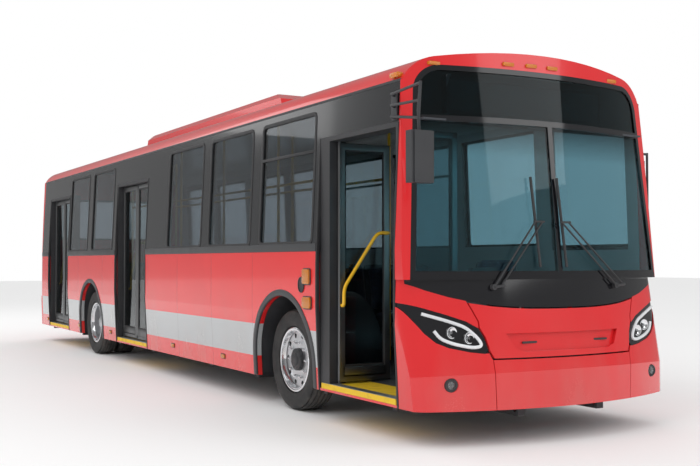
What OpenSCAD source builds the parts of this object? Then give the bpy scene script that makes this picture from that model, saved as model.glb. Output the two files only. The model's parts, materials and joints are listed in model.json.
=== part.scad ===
// City bus, two axles, three doors on the right-hand side.
// Millimetres. +Z up, the bus faces -Y, its doors are on the -X side.
// Origin: on the ground under the middle of the overall box.

/* [Overall] */
// Width of the body at the belt line
body_w = 2600; // [2400:10:2700]
// Distance between the front and rear wheel centres
wheelbase = 6510; // [6200:10:7800]
// Foremost point of the bumper to the front wheel centre
front_overhang = 2470; // [2400:10:2700]
// Rear wheel centre to the rearmost point
rear_overhang = 3270; // [3150:10:3700]
// Height of the side skirt's lower edge over the ground
skirt_z = 270; // [220:5:320]
// Height of the joint between painted side and window band
belt_z = 1460; // [1350:10:1550]
// Height of the joint between window band and roof
cove_z = 2757; // [2500:5:3000]
// Thickness of the side walls, roof and end walls
wall = 60; // [40:5:80]

/* [Body section] */
// How far the skirt's lower edge stands in from the belt
skirt_in = 35; // [0:5:60]
// Height where the skirt becomes upright
skirt_bend_z = 900; // [700:10:1100]
// How far the window band leans in at its top
cove_in = 56; // [0:2:90]
// Radius of the roof's long edges
roof_edge_r = 330; // [200:10:450]
// Radius of the roof's crown
roof_crown_r = 6500; // [4000:100:9000]
// Widest half width of the roof over the cove, short of the belt by
roof_in = 38; // [20:2:60]

/* [Nose] */
// Radius of the bumper in plan
bumper_r = 3060; // [2600:20:3600]
// Radius of the bumper's corners in plan
bumper_corner_r = 220; // [120:10:300]
// Radius of the windscreen in plan
screen_r = 3600; // [3000:50:4500]
// Radius of the corner posts in plan
post_r = 90; // [40:5:140]
// Lean of the service lid
lid_lean = 10.5; // [5:0.5:14]
// Lean of the windscreen
screen_lean = 6; // [3:0.5:9]
// Height where the lid's lean starts
lean_z = 550; // [450:10:640]
// Height of the windscreen's lower rubber
screen_z = 1237; // [1150:1:1300]
// Height of the glass's lower edge
glass_z0 = 1300; // [1260:5:1350]
// Height of the bar between windscreen and sign glass
sign_bar_z = 2440; // [2300:10:2500]
// Height of that bar itself
sign_bar_h = 46; // [30:2:80]
// Height of the sign glass's upper edge
sign_top_z = 2880; // [2750:5:2920]
// Width of the centre bar
divider_w = 44; // [30:2:60]
// Width of the rubber round the front glass
rubber_w = 42; // [25:1:60]
// Half width of the front glass opening at its foot
screen_half = 1262; // [1200:2:1275]
// Radius of the opening's upper corners
screen_top_r = 220; // [120:10:300]
// Height of the black panel's lower edge at the centre
panel_z = 1020; // [980:5:1060]
// Rise of that edge towards the sides
panel_rise = 170; // [100:5:200]
// Half width where the rise is measured
panel_half = 1230; // [1150:10:1260]
// Height of the joint between lid and bumper at the centre
bumper_top_z = 640; // [600:5:680]
// Gap at the joints between body panels
seam = 6; // [5:0.5:10]
// Gap round the service lid, which swings
lid_gap = 11; // [8:0.5:14]
// Thickness of the service lid and of the black panel over it
lid_t = 25; // [18:1:26]
panel_t = 20; // [12:1:22]
// Height of the lid's hinge axis, and its depth behind the face at the middle
lid_axis_z = 1190; // [1170:1:1205]
lid_axis_in = 50; // [48:1:56]
// Half distance of the lid's two hinge arms
lid_arm_x = 250; // [200:10:280]
// Half width of the bumper's middle piece
bumper_mid = 665; // [600:5:720]
// Distance of the front door's opening behind the foremost point
door_setback = 512; // [480:1:600]

// How far the corner posts' plan stands outside the section
post_out = 12; // [5:1:30]

/* [Doors] */
// Width of the front door's opening
front_door_w = 1265; // [1150:5:1400]
// Width of the post behind the front door
front_post_w = 177; // [150:1:220]
// Width of the middle and rear door openings
door_w = 1330; // [1200:5:1450]
// Middle door's rear edge ahead of the rear wheel centre
mid_door_ahead = 1263; // [900:1:1500]
// Rear door's front edge behind the rear wheel centre
rear_door_behind = 1310; // [1000:1:1400]
// Height of the door openings' upper edge
door_top_z = 2435; // [2300:5:2500]
// Thickness of the door jamb linings
jamb = 40; // [30:1:60]
// Depth of the door leaves behind the side
door_recess = 105; // [80:1:140]
// Thickness of a door leaf
leaf_t = 35; // [25:1:45]
// Width of a leaf's frame
leaf_frame = 62; // [40:1:90]
// Clearance of moving pieces
gap = 8; // [6:0.5:12]

/* [Windows] */
// Height of the side glass's lower edge
pane_z0 = 1530; // [1480:5:1600]
// Height of the side glass's upper edge
pane_z1 = 2675; // [2500:5:2700]
// Thickness of glass
glass_t = 8; // [5:1:12]
// Set-back of glass behind the outer face
glass_in = 10; // [4:1:20]
// Width of a post between two side panes
post_w = 215; // [120:5:260]
// Width of the closed dark panel ahead of the middle door
dark_panel_w = 780; // [600:10:900]

/* [Wheels] */
// Outer radius of the tyres
tyre_r = 465; // [440:1:500]
// Width of a tyre
tyre_w = 255; // [235:1:290]
// Radius of the rim's flange
rim_r = 298; // [280:1:305]
// Front tyre's outer face to the side of the body
front_wheel_in = 118; // [80:2:140]
// Rear tyre's outer face to the side of the body
rear_wheel_in = 80; // [60:2:120]
// Gap between twin tyres
twin_gap = 34; // [25:1:60]
// Radius of the wheel arches
arch_r = 596; // [560:2:640]
// Kingpin to the front tyre's middle plane
kingpin_in = 192; // [150:1:220]
// Radius of the kingpin
kingpin_r = 24; // [18:1:30]
// Radius of the wheel spindle
spindle_r = 38; // [30:1:45]

/* [Floor and frame] */
// Height of the floor's top
floor_z = 335; // [300:5:380]
// Thickness of the floor
floor_t = 45; // [30:1:60]
// Height of the frame rails
rail_h = 90; // [70:5:110]
// Width of a frame rail
rail_w = 70; // [50:5:90]
// Rail's middle to the centre line
rail_x = 400; // [300:10:480]
// Inner half width between the wheel housings
aisle_half = 560; // [520:5:600]
// Thickness of the wheel housing sheet
housing_t = 12; // [6:1:20]

/* [Roof unit] */
// Length of the air conditioning cover
pod_l = 4450; // [3600:50:5200]
// Distance of its front end behind the front wheel centre
pod_behind = 980; // [600:10:1400]
// Half width of the cover
pod_half = 800; // [600:10:900]
// Height of the cover's top over the roof crown
pod_h = 180; // [120:5:260]

/* [Rear end] */
// Half width of the engine lid
elid_half = 860; // [700:10:950]
// Height of the engine lid's lower edge
elid_z0 = 800; // [760:5:860]
// Height of the engine lid's upper edge
elid_z1 = 1560; // [1450:5:1600]
// Height of the rear window's lower and upper edges
rwin_z0 = 1760; // [1700:5:1850]
rwin_z1 = 2480; // [2350:5:2600]
// Half width of the rear window
rwin_half = 960; // [800:10:1050]
// Depth of the rear bumper behind the rear wall
rbump_d = 55; // [40:1:80]
// Height of the rear bumper's upper edge
rbump_z = 770; // [700:5:790]

// Radius of the rear corners in plan
tail_r = 130; // [80:5:160]

/* [Mirrors] */
// How far the mirrors reach past the side
mirror_out = 172; // [140:1:220]
// Width and height of a mirror head
mirror_w = 190; // [150:1:220]
mirror_h = 372; // [300:1:420]

/* [Hidden] */
$fn = 96;

// Lengthways stations
length = front_overhang + wheelbase + rear_overhang;
front_y = -length / 2;
front_axle_y = front_y + front_overhang;
rear_axle_y = front_axle_y + wheelbase;
rear_y = length / 2;
half_w = body_w / 2;
nose_y = front_y + door_setback;
tail_y = rear_y - rbump_d - tail_r;

// Doors: [front edge, rear edge] of each opening
front_door = [nose_y, nose_y + front_door_w];
mid_door = [rear_axle_y - mid_door_ahead - door_w, rear_axle_y - mid_door_ahead];
rear_door = [rear_axle_y + rear_door_behind, rear_axle_y + rear_door_behind + door_w];

floor_under = floor_z - floor_t;
rail_z0 = floor_under - rail_h;
leaf_z0 = floor_z + 15;
leaf_x = half_w - door_recess;
leaf_z1 = door_top_z - jamb - gap;
fit = 0.3;

// Half width of the body's outer face at height z
function half_at(z) =
    z < skirt_bend_z ? half_w - skirt_in * (skirt_bend_z - z) / (skirt_bend_z - skirt_z)
    : z < belt_z ? half_w
    : half_w - cove_in * (z - belt_z) / (cove_z - belt_z);
// Centre of the roof's edge arc, as [x, z]
edge_x = half_w - roof_in - roof_edge_r;
edge_dz = roof_edge_r * sin(acos((half_at(cove_z) - 12 - edge_x) / roof_edge_r));
edge_z = cove_z - edge_dz;
crown_c = edge_z - sqrt(pow(roof_crown_r - roof_edge_r, 2) - edge_x * edge_x);
crown_z = crown_c + roof_crown_r;
// Height of the roof's face at x, taken inwards by t
function roof_top(x, t) = crown_c + sqrt(pow(roof_crown_r - t, 2) - x * x);

// ---------- helpers ----------
// A drawing in X and Z, drawn out along Y from y0 to y1
module along_y(y0, y1) translate([0, y1, 0]) rotate([90, 0, 0]) linear_extrude(y1 - y0) children();
// A drawing in Y and Z, drawn out along X from x0 to x1
module along_x(x0, x1) translate([x0, 0, 0]) rotate([90, 0, 90]) linear_extrude(x1 - x0) children();
// A box from one corner to the other
module block(a, b) translate(a) cube(b - a);
// A round bar from p to q
module bar(p, q, r) {
    d = q - p;
    translate(p) rotate([0, acos(d.z / norm(d)), atan2(d.y, d.x)]) cylinder(h = norm(d), r = r);
}
// A chain of round bars with ball joints
module bent_bar(points, r) {
    for (i = [1 : len(points) - 1]) bar(points[i - 1], points[i], r);
    for (i = [1 : len(points) - 2]) translate(points[i]) sphere(r = r * 1.12);
}
// A child and its mirror image across the centre plane
module both_sides() { children(); mirror([1, 0, 0]) children(); }
// Strip of the side wall between heights z0 and z1 and insets t0 and t1, on the +X side
function wall_z(z0, z1) = [for (z = [z0, skirt_bend_z, belt_z, z1]) if (z >= z0 && z <= z1) z];
module strip(z0, z1, t0, t1) {
    zs = wall_z(z0, z1);
    n = len(zs) - 1;
    polygon(concat([for (z = zs) [half_at(z) - t0, z]], [for (i = [n : -1 : 0]) [half_at(zs[i]) - t1, zs[i]]]));
}
// Outline of the roof over the cove, taken inwards by t, down to height z0
module roof_outline(t, z0) intersection() {
    union() {
        intersection() {
            translate([0, crown_c]) circle(r = roof_crown_r - t, $fn = 360);
            polygon([[0, crown_c], [-4 * edge_x, crown_c + 4 * (edge_z - crown_c)],
                [4 * edge_x, crown_c + 4 * (edge_z - crown_c)]]);
        }
        for (s = [-1, 1]) translate([s * edge_x, edge_z]) circle(r = roof_edge_r - t);
    }
    translate([-half_w, z0]) square([body_w, crown_z - z0 + 10]);
}
// Whole section of the body, taken inwards by t, from height z0
module section(t, z0) {
    zs = wall_z(z0, cove_z);
    n = len(zs) - 1;
    polygon(concat([for (z = zs) [half_at(z) - t, z]], [for (i = [n : -1 : 0]) [-half_at(zs[i]) + t, zs[i]]]));
    roof_outline(t, cove_z - 1);
    intersection() {
        translate([-edge_x, cove_z - 1]) square([2 * edge_x, crown_z - cove_z]);
        translate([0, crown_c]) circle(r = roof_crown_r - t, $fn = 360);
    }
}
// The same section in short straight steps, for the front cap, where two curved faces meet
edge_a0 = asin(edge_dz / roof_edge_r);
edge_a1 = atan2(edge_z - crown_c, edge_x);
function cap_side(t) = concat([for (z = wall_z(screen_z, cove_z)) [half_at(z) - t, z]],
    [for (i = [0 : 8]) let (a = edge_a0 + (edge_a1 - edge_a0) * i / 8)
        [edge_x + (roof_edge_r - t) * cos(a), edge_z + (roof_edge_r - t) * sin(a)]],
    [for (i = [5 : -1 : 1]) let (a = 90 - (90 - edge_a1) * i / 6)
        [(roof_crown_r - t) * cos(a), crown_c + (roof_crown_r - t) * sin(a)]]);
module cap_section(t) {
    side = cap_side(t);
    n = len(side) - 1;
    polygon(concat(side, [[0, crown_z - t]], [for (i = [n : -1 : 0]) [-side[i].x, side[i].y]]));
}
// Plan of the nose: a wide arc with round corners, its foremost point at y = 0
module nose_plan(big_r, corner_r, t, wide = 0) {
    cx = half_w + wide - corner_r;
    cy = big_r - sqrt(pow(big_r - corner_r, 2) - cx * cx);
    intersection() {
        translate([0, big_r]) circle(r = big_r - t, $fn = 360);
        polygon([[0, big_r], [-1.5 * cx, big_r - 1.5 * (big_r - cy)], [1.5 * cx, big_r - 1.5 * (big_r - cy)]]);
    }
    for (s = [-1, 1]) translate([s * cx, cy]) circle(r = corner_r - t);
    translate([t - half_w - wide, cy]) square([2 * (half_w + wide - t), big_r]);
}
// Depth of the nose plan at x
function arc_back(big_r, x) = big_r - sqrt(big_r * big_r - x * x);
screen_apex = front_y + (screen_z - lean_z) * tan(lid_lean);
// The nose as a solid, taken inwards by t: upright bumper, leaning lid, windscreen over it
module nose_low(t) intersection() {
    translate([0, front_y, 0]) linear_extrude(screen_z) nose_plan(bumper_r, bumper_corner_r, t);
    translate([0, front_y, lean_z]) rotate([-lid_lean, 0, 0]) translate([0, 0, -lean_z])
        linear_extrude(2 * screen_z) nose_plan(bumper_r, bumper_corner_r, t);
    along_y(front_y - 1, nose_y + t) section(t, skirt_z);
}
// Space behind the windscreen's face, and the skin between two insets from it
module lean_back() translate([0, screen_apex, screen_z]) rotate([-screen_lean, 0, 0])
    translate([0, 0, -screen_z / 2]) linear_extrude(2.2 * screen_z) children();
module nose_high_skin(t0, t1) lean_back() difference() {
    nose_plan(screen_r, post_r, t0, post_out);
    nose_plan(screen_r, post_r, t1, post_out);
}
module nose_low_skin(t0, t1) difference() { nose_low(t0); nose_low(t1); }

// ---------- drawings of the front, in X and Z ----------
// Lower edge of the black panel, by a cubic rise
function smile(x) = panel_z + panel_rise * pow(abs(x) / panel_half, 3);
smile_x = [for (i = [-8 : 8]) i / 8 * (half_w + 10)];
// Half width of the glass opening at height z
function screen_edge(z) = screen_half - (half_w - half_at(z)) - 0.035 * (z - screen_z);
module screen_opening(inset, z0, z1) {
    top = sign_top_z - inset;
    r = screen_top_r - inset;
    x0 = screen_edge(screen_z) - inset;
    x1 = screen_edge(top - r) - inset;
    intersection() {
        union() {
            polygon([[-x0, screen_z + inset], [x0, screen_z + inset], [x1, top - r], [-x1, top - r]]);
            translate([r - x1, top - r - 1]) square([2 * (x1 - r), r + 1]);
            for (s = [-1, 1]) translate([s * (x1 - r), top - r]) circle(r = r);
        }
        translate([-half_w, z0]) square([body_w, z1 - z0]);
    }
}
// Headlamp's outline, as [x, z] from its outer tip, clockwise
lamp_outline = [[1320, 1070], [1162, 1024], [1017, 978], [866, 925], [789, 879], [742, 804], [719, 715],
    [751, 686], [867, 700], [1017, 733], [1105, 771], [1180, 840], [1240, 930]];
// Side of the service lid, as [x, z] downwards; the lid stands in from it by the seam
lid_side = [[870, 1110], [815, 997], [782, 925], [780, 879], [742, 804], [716, 700], [690, bumper_top_z]];
// Wing between the lid's side, the lamp's upper edge and the corner post
module wing_shape() difference() {
    polygon([[870, 1110], [815, 997], [782, 925], [780, 879], [789, 879], [866, 925], [1017, 978], [1162, 1024], [1320, 1070],
        [1400, 1070], [1400, 1300], [870, 1300]]);
    panel_shape(0);
}
module lid_shape(in) difference() {
    n = len(lid_side) - 1;
    polygon(concat([for (p = lid_side) [p.x - in, p.y + (p.y == bumper_top_z ? in : 0)]],
        [for (i = [n : -1 : 0]) [in - lid_side[i].x, lid_side[i].y + (i == n ? in : 0)]]));
    panel_shape(in);
}
// Black panel over the lid, let down by low
module panel_shape(low) difference() {
    polygon(concat([for (x = smile_x) [x, smile(x) - low]],
        [[half_w + 10, screen_z + 1], [-half_w - 10, screen_z + 1]]));
    for (x = [screen_half, -screen_half - 100]) translate([x, 0]) square([100, 1400]);
}
// Bumper piece under each lamp
module corner_shape() polygon([[bumper_mid + seam, 0], [bumper_mid + seam + 25, bumper_top_z], [719, 690], [751, 686],
    [867, 700], [1017, 733], [1105, 771], [1180, 840], [1240, 930], [1320, 1070], [1400, 1070], [1400, 0]]);

// ---------- body ----------
module chassis_frame() color([0.12, 0.12, 0.13]) {
    rail_y0 = nose_y - 40;
    rail_y1 = tail_y - 20;
    for (s = [-1, 1]) translate([s * rail_x - rail_w / 2, rail_y0, rail_z0]) cube([rail_w, rail_y1 - rail_y0, rail_h]);
    for (y = cross_y) translate([rail_w / 2 - rail_x, y, rail_z0]) cube([2 * rail_x - rail_w, 60, rail_h]);
    both_sides() for (y = cross_y)
        block([rail_x + rail_w / 2, y, rail_z0 + 30], [half_w - wall - skirt_in - 5, y + 60, floor_under]);
    both_sides() difference() {
        block([rail_x - rail_w / 2, rail_tip, rail_z0], [rail_x + rail_w / 2, rail_y0, rail_z0 + rail_h]);
        translate([rail_x - rail_w, rail_tip + 40, rail_z0 + rail_h / 2]) rotate([0, 90, 0]) cylinder(h = 2 * rail_w, r = eye_r);
    }
}
// Front tips of the frame rails, and the tow eye's bore in each
rail_tip = nose_y - 380;
eye_r = 20;
cross_y = [nose_y + 120, front_axle_y - 720, front_axle_y + 700, front_axle_y + 1900, mid_door[0] - 60,
    mid_door[1] + 20, rear_axle_y - 720, rear_axle_y + 700, rear_door[1] - 80];

module floor_plate_shape() difference() {
    x = half_at(floor_under) - wall - fit;
    translate([-x, nose_y + 60]) square([2 * x, tail_y - nose_y - 60 - 1]);
    for (w = housings) translate([w[1] > 0 ? w[1] : w[1] - 900, w[0] - housing_r])
        square([900, 2 * housing_r]);
}
module floor_body() color([0.3, 0.3, 0.32]) {
    translate([0, 0, floor_under]) linear_extrude(floor_t) floor_plate_shape();
    // Steps that carry the doorways out to the side
    for (d = doors) block([-half_w + skirt_in, d[0] + jamb, floor_under],
        [-half_w + wall + skirt_in + 1, d[1] - jamb, floor_z]);
}
// Wheel housings: [centre along Y, inner face x]
housing_r = arch_r + 24;
housings = [[front_axle_y, aisle_half], [front_axle_y, -aisle_half], [rear_axle_y, aisle_half + 30],
    [rear_axle_y, -aisle_half - 30]];
doors = [front_door, mid_door, rear_door];

module wheel_housings() color([0.16, 0.16, 0.17]) for (w = housings) {
    s = sign(w[1]);
    inner = abs(w[1]);
    outer = half_w - wall;
    translate([0, w[0], 0]) intersection() {
        difference() {
            along_x(s > 0 ? inner : -outer, s > 0 ? outer : -inner) housing_outline(housing_r);
            along_x(s > 0 ? inner + housing_t : -outer - 1, s > 0 ? outer + 1 : -inner - housing_t)
                housing_outline(housing_r - housing_t);
        }
        along_y(-housing_r, housing_r) section(wall, floor_under);
    }
}
module housing_outline(r) {
    translate([0, tyre_r]) circle(r = r);
    translate([-r, 0]) square([2 * r, tyre_r]);
}
// Cut for a wheel arch, in Y and Z
module arch_cut(y) {
    translate([y, tyre_r]) circle(r = arch_r);
    translate([y - arch_r, 0]) square([2 * arch_r, tyre_r]);
}

// Lower side panel on the +X side from y0 to y1
module side_run(y0, y1) difference() {
    along_y(y0, y1) strip(skirt_z, belt_z, 0, wall);
    for (y = [front_axle_y, rear_axle_y]) if (y > y0 && y < y1) along_x(0, half_w + 1) arch_cut(y);
}
module side_panels_right() color([0.9, 0.16, 0.16]) mirror([1, 0, 0]) {
    side_run(front_door[1], mid_door[0]);
    side_run(mid_door[1], rear_door[0]);
    side_run(rear_door[1], tail_y);
    // Sill under each doorway
    for (d = doors) along_y(d[0], d[1]) strip(skirt_z, floor_under - fit, 0, wall);
}
module side_panels_left() color([0.9, 0.16, 0.16]) side_run(nose_y, tail_y);

// Panes as [front edge, rear edge, lower edge]
front_pane_w = (mid_door[0] - dark_panel_w - front_door[1] - 77 - 2 * post_w) / 3;
rear_pane_w = (rear_door[0] - mid_door[1] - 138 - 60 - post_w) / 2;
panes_right = concat(
    [for (i = [0 : 2]) let (y = front_door[1] + 77 + i * (front_pane_w + post_w)) [y, y + front_pane_w, pane_z0]],
    [for (i = [0 : 1]) let (y = mid_door[1] + 138 + i * (rear_pane_w + post_w)) [y, y + rear_pane_w, pane_z0]]);
left_start = nose_y + 1343;
left_count = round((tail_y - 520 - left_start) / (front_pane_w + post_w));
left_pitch = (tail_y - 520 + post_w - left_start) / left_count;
panes_left = concat([[nose_y + 130, left_start - post_w, belt_z + 20]],
    [for (i = [0 : left_count - 1]) let (y = left_start + i * left_pitch) [y, y + left_pitch - post_w, pane_z0]]);

module band(panes, openings) difference() {
    along_y(nose_y, tail_y) strip(belt_z, cove_z, 0, wall);
    for (p = panes) block([half_w - 2 * wall - cove_in, p[0], p[2]], [half_w + 1, p[1], pane_z1]);
    for (d = openings) block([half_w - 2 * wall - cove_in, d[0], belt_z - 1], [half_w + 1, d[1], door_top_z]);
}
module window_band_right() color([0.1, 0.1, 0.11]) mirror([1, 0, 0]) band(panes_right, doors);
module window_band_left() color([0.1, 0.1, 0.11]) band(panes_left, []);
module pane_set(panes) for (p = panes)
    along_y(p[0] + fit, p[1] - fit) strip(p[2] + fit, pane_z1 - fit, glass_in, glass_in + glass_t);
module side_glass() color([0.25, 0.32, 0.36]) {
    mirror([1, 0, 0]) pane_set(panes_right);
    pane_set(panes_left);
}

module roof() color([0.9, 0.2, 0.2]) difference() {
    along_y(nose_y, tail_y) roof_shell(0, cove_z);
    along_y(nose_y - 1, tail_y + 1) roof_shell(wall, cove_z - 1);
}
// Solid drawing of the roof over the cove, taken inwards by t
module roof_shell(t, z0) intersection() {
    section(t, z0 - 5);
    translate([-half_w, z0]) square([body_w, crown_z]);
}
pod_y0 = front_axle_y + pod_behind;
module roof_pod() color([0.9, 0.25, 0.25]) difference() {
    intersection() {
        along_x(-pod_half, pod_half) polygon([[pod_y0, crown_z - 160], [pod_y0 + 60, crown_z + 0.3 * pod_h],
            [pod_y0 + 330, crown_z + 0.8 * pod_h], [pod_y0 + 800, crown_z + pod_h], [pod_y0 + pod_l - 500, crown_z + pod_h],
            [pod_y0 + pod_l - 110, crown_z + 0.7 * pod_h], [pod_y0 + pod_l, crown_z - 160]]);
        along_y(pod_y0 - 1, pod_y0 + pod_l + 1) polygon([for (s = [-1, 1], p = s < 0
            ? [[-1, 0], [-1, 0.35], [-0.9, 0.75], [-0.72, 0.95], [-0.4, 1]]
            : [[0.4, 1], [0.72, 0.95], [0.9, 0.75], [1, 0.35], [1, 0]])
            [p.x * pod_half, p.y > 0 ? crown_z + p.y * pod_h : crown_z - 160]]);
    }
    along_y(pod_y0 - 2, pod_y0 + pod_l + 2) section(0, cove_z - 10);
}

// ---------- front ----------
module front_mask() color([0.9, 0.14, 0.14]) {
    // Face of the cap, the ring of roof and posts behind it, and the opening for the glass
    difference() {
        intersection() {
            lean_back() nose_plan(screen_r, post_r, 0, post_out);
            along_y(front_y, nose_y) cap_section(0);
        }
        intersection() {
            lean_back() nose_plan(screen_r, post_r, wall, post_out);
            along_y(front_y, nose_y + 1) translate([0, -1]) cap_section(wall);
        }
        along_y(front_y - 1, nose_y + 1) screen_opening(0, 0, 4000);
    }
    // Wings beside the lid, over the lamps
    both_sides() intersection() {
        nose_low_skin(0, wall);
        along_y(front_y - 1, nose_y) wing_shape();
    }
}
// Outline of the long recess, grown by g
module recess_shape(g) polygon([[-565 - g, 832 + g], [565 + g, 832 + g], [500 + g, 720 - g], [430 + g, 695 - g],
    [-430 - g, 695 - g], [-500 - g, 720 - g]]);
recess_in = 26;
lid_axis_y = front_y + (lid_axis_z - lean_z) * tan(lid_lean) + lid_axis_in / cos(lid_lean);
lid_pin_r = 7;
lid_arm_w = 24;
lid_ear_w = 12;
// Swan-neck arm from the hinge axis back, down and forward under the black panel's edge, in Y and Z
module lid_arm_shape() {
    circle(r = 14);
    translate([0, -12]) square([150, 24]);
    translate([126, -215]) square([24, 215]);
    translate([-130, -215]) square([256, 25]);
}
module at_lid_axis() translate([0, lid_axis_y, lid_axis_z]) children();
module front_lid() color([0.88, 0.12, 0.13]) {
    difference() {
        union() {
            intersection() {
                nose_low_skin(0, lid_t);
                along_y(front_y - 1, nose_y - 5) lid_shape(lid_gap);
            }
            intersection() {
                nose_low_skin(lid_t - 5, recess_in + 14);
                along_y(front_y - 1, nose_y - 5) recess_shape(12);
            }
        }
        difference() {
            along_y(front_y - 60, front_y + 300) recess_shape(0);
            nose_low(recess_in);
        }
    }
    both_sides() intersection() {
        at_lid_axis() along_x(lid_arm_x - lid_arm_w / 2, lid_arm_x + lid_arm_w / 2) lid_arm_shape();
        nose_low(lid_t / 2);
    }
    both_sides() at_lid_axis() translate([lid_arm_x - lid_arm_w / 2 - seam - lid_ear_w, 0, 0]) rotate([0, 90, 0])
        cylinder(h = lid_arm_w + 2 * (seam + lid_ear_w), r = lid_pin_r);
}
// Ears behind the black panel that hold the lid's pins
module lid_ears() both_sides() for (x = [lid_arm_x - lid_arm_w / 2 - seam - lid_ear_w, lid_arm_x + lid_arm_w / 2 + seam])
    difference() {
        intersection() {
            at_lid_axis() along_x(x, x + lid_ear_w) {
                circle(r = 15);
                translate([-100, -15]) square([100, 30]);
            }
            nose_low(panel_t / 2);
        }
        at_lid_axis() translate([x - 1, 0, 0]) rotate([0, 90, 0]) cylinder(h = lid_ear_w + 2, r = lid_pin_r + fit);
    }
module front_bumper() color([0.88, 0.12, 0.13]) difference() {
    union() {
        intersection() {
            nose_low_skin(0, wall);
            along_y(front_y - 1, nose_y - 5) polygon([[-bumper_mid, 0], [bumper_mid, 0],
                [bumper_mid + 25, bumper_top_z - 1], [-bumper_mid - 25, bumper_top_z - 1]]);
        }
        intersection() {
            nose_low_skin(0, wall);
            both_sides() along_y(front_y - 1, nose_y) corner_shape();
        }
        // Pads on the ends of the frame rails
        both_sides() block([rail_x - 30, front_y + wall, skirt_z + 1], [rail_x + 30, rail_tip, floor_under + 30]);
    }
    both_sides() translate([fog_x, front_y - 1, fog_z]) rotate([-90, 0, 0]) cylinder(h = 500, r = fog_r);
}
fog_x = 1020;
fog_z = 464;
fog_r = 52;
module front_lamps() color([0.85, 0.87, 0.9]) {
    both_sides() intersection() {
        nose_low_skin(8, wall - 10);
        along_y(front_y - 1, nose_y - 5) polygon(lamp_outline);
    }
    both_sides() intersection() {
        nose_low_skin(10, wall - 10);
        translate([fog_x, front_y - 1, fog_z]) rotate([-90, 0, 0]) cylinder(h = 500, r = fog_r);
    }
}
// Black panel, rubber round the glass, bar under the sign glass and centre bar
module screen_frame() color([0.07, 0.07, 0.08]) {
    lid_ears();
    difference() {
        nose_low_skin(0, panel_t);
        difference() {
            translate([-2 * half_w, front_y - 10, 0]) cube([4 * half_w, 2000, screen_z + 1]);
            along_y(front_y - 11, nose_y - 5) panel_shape(0);
        }
    }
    intersection() {
        nose_high_skin(0, wall - 20);
        along_y(front_y - 1, nose_y - 1) difference() {
            screen_opening(0, screen_z, 4000);
            difference() {
                screen_opening(rubber_w, glass_z0, sign_bar_z);
                translate([-divider_w / 2, 0]) square([divider_w, 4000]);
            }
            screen_opening(rubber_w, sign_bar_z + sign_bar_h, 4000);
        }
    }
}
module front_glass() color([0.2, 0.35, 0.42]) intersection() {
    nose_high_skin(glass_in, glass_in + glass_t);
    along_y(front_y - 1, nose_y - 1) {
        difference() {
            screen_opening(rubber_w, glass_z0, sign_bar_z);
            translate([-divider_w / 2, 0]) square([divider_w, 4000]);
        }
        screen_opening(rubber_w, sign_bar_z + sign_bar_h, 4000);
    }
}

// ---------- rear ----------
// Plan of the tail with round corners of radius r, its round stretch starting at y = 0
module rear_plan(r, t) {
    for (s = [-1, 1]) translate([s * (half_w - r), 0]) circle(r = r - t);
    translate([t - half_w, -400]) square([body_w - 2 * t, 400]);
    translate([r - half_w, -400]) square([body_w - 2 * r, 400 + r - t]);
}
rear_face = rear_y - rbump_d;
module rear_cap(t) intersection() {
    translate([0, tail_y, 0]) linear_extrude(4000) rear_plan(tail_r, t);
    along_y(tail_y - (t > 0 ? 1 : 0), rear_y) translate([0, t > 0 ? -1 : 0]) section(t, skirt_z);
}
lamp_x0 = 1010;
lamp_x1 = 1150;
lamp_z = [820, 1420];
module rear_wall() color([0.88, 0.13, 0.13]) difference() {
    rear_cap(0);
    rear_cap(wall);
    block([-rwin_half, tail_y - 1, rwin_z0], [rwin_half, rear_y, rwin_z1]);
    block([-elid_half - seam, tail_y - 1, elid_z0 - seam], [elid_half + seam, rear_y, elid_z1 + seam]);
    both_sides() block([lamp_x0, rear_face - 30, lamp_z[0]], [lamp_x1, rear_y, lamp_z[1]]);
}
module rear_window() color([0.2, 0.25, 0.3])
    block([-rwin_half, rear_face - glass_in - glass_t, rwin_z0], [rwin_half, rear_face - glass_in, rwin_z1]);
// Hinge line of the engine lid, on the wall's outer face
hinge_r = 6;
hinge_y = rear_face + hinge_r + fit;
hinge_z = elid_z1 + seam;
module engine_lid() color([0.88, 0.13, 0.13]) {
    block([-elid_half, rear_face - 40, elid_z0], [elid_half, rear_face, elid_z1]);
    for (x = [-560, 0, 560]) {
        translate([x - 60, hinge_y, hinge_z]) rotate([0, 90, 0]) cylinder(h = 120, r = hinge_r);
        block([x - 60, rear_face, elid_z1 - 40], [x + 60, hinge_y, hinge_z - 2]);
    }
}
// Where the rear bumper starts behind the start of the tail's corners
rbump_start = 95;
module rear_bumper() color([0.85, 0.12, 0.12]) intersection() {
    linear_extrude(rbump_z) difference() {
        translate([0, rear_y - tail_r - 20]) rear_plan(tail_r + 20, 0);
        translate([0, tail_y]) rear_plan(tail_r, 0);
    }
    along_y(tail_y + rbump_start, rear_y) section(0, skirt_z);
}
module rear_lamps() color([0.8, 0.1, 0.1]) both_sides()
    block([lamp_x0, rear_face - 30, lamp_z[0]], [lamp_x1, rear_face + 12, lamp_z[1]]);

// ---------- doors ----------
// Lining round a doorway on the -X side: two jambs and a header
module door_lining(d, rear_jamb) {
    x0 = -half_w + skirt_in + 4;
    depth = door_recess + leaf_t + 20;
    difference() {
        block([x0, d[0], floor_z + fit], [x0 + depth, d[1], door_top_z - fit]);
        block([x0 - 1, d[0] + jamb, floor_z - 1], [x0 + depth + 1, d[1] - rear_jamb, door_top_z - jamb]);
    }
}
module door_frames() color([0.05, 0.05, 0.06]) {
    door_lining(front_door, front_post_w);
    door_lining(mid_door, jamb);
    door_lining(rear_door, jamb);
}
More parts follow.
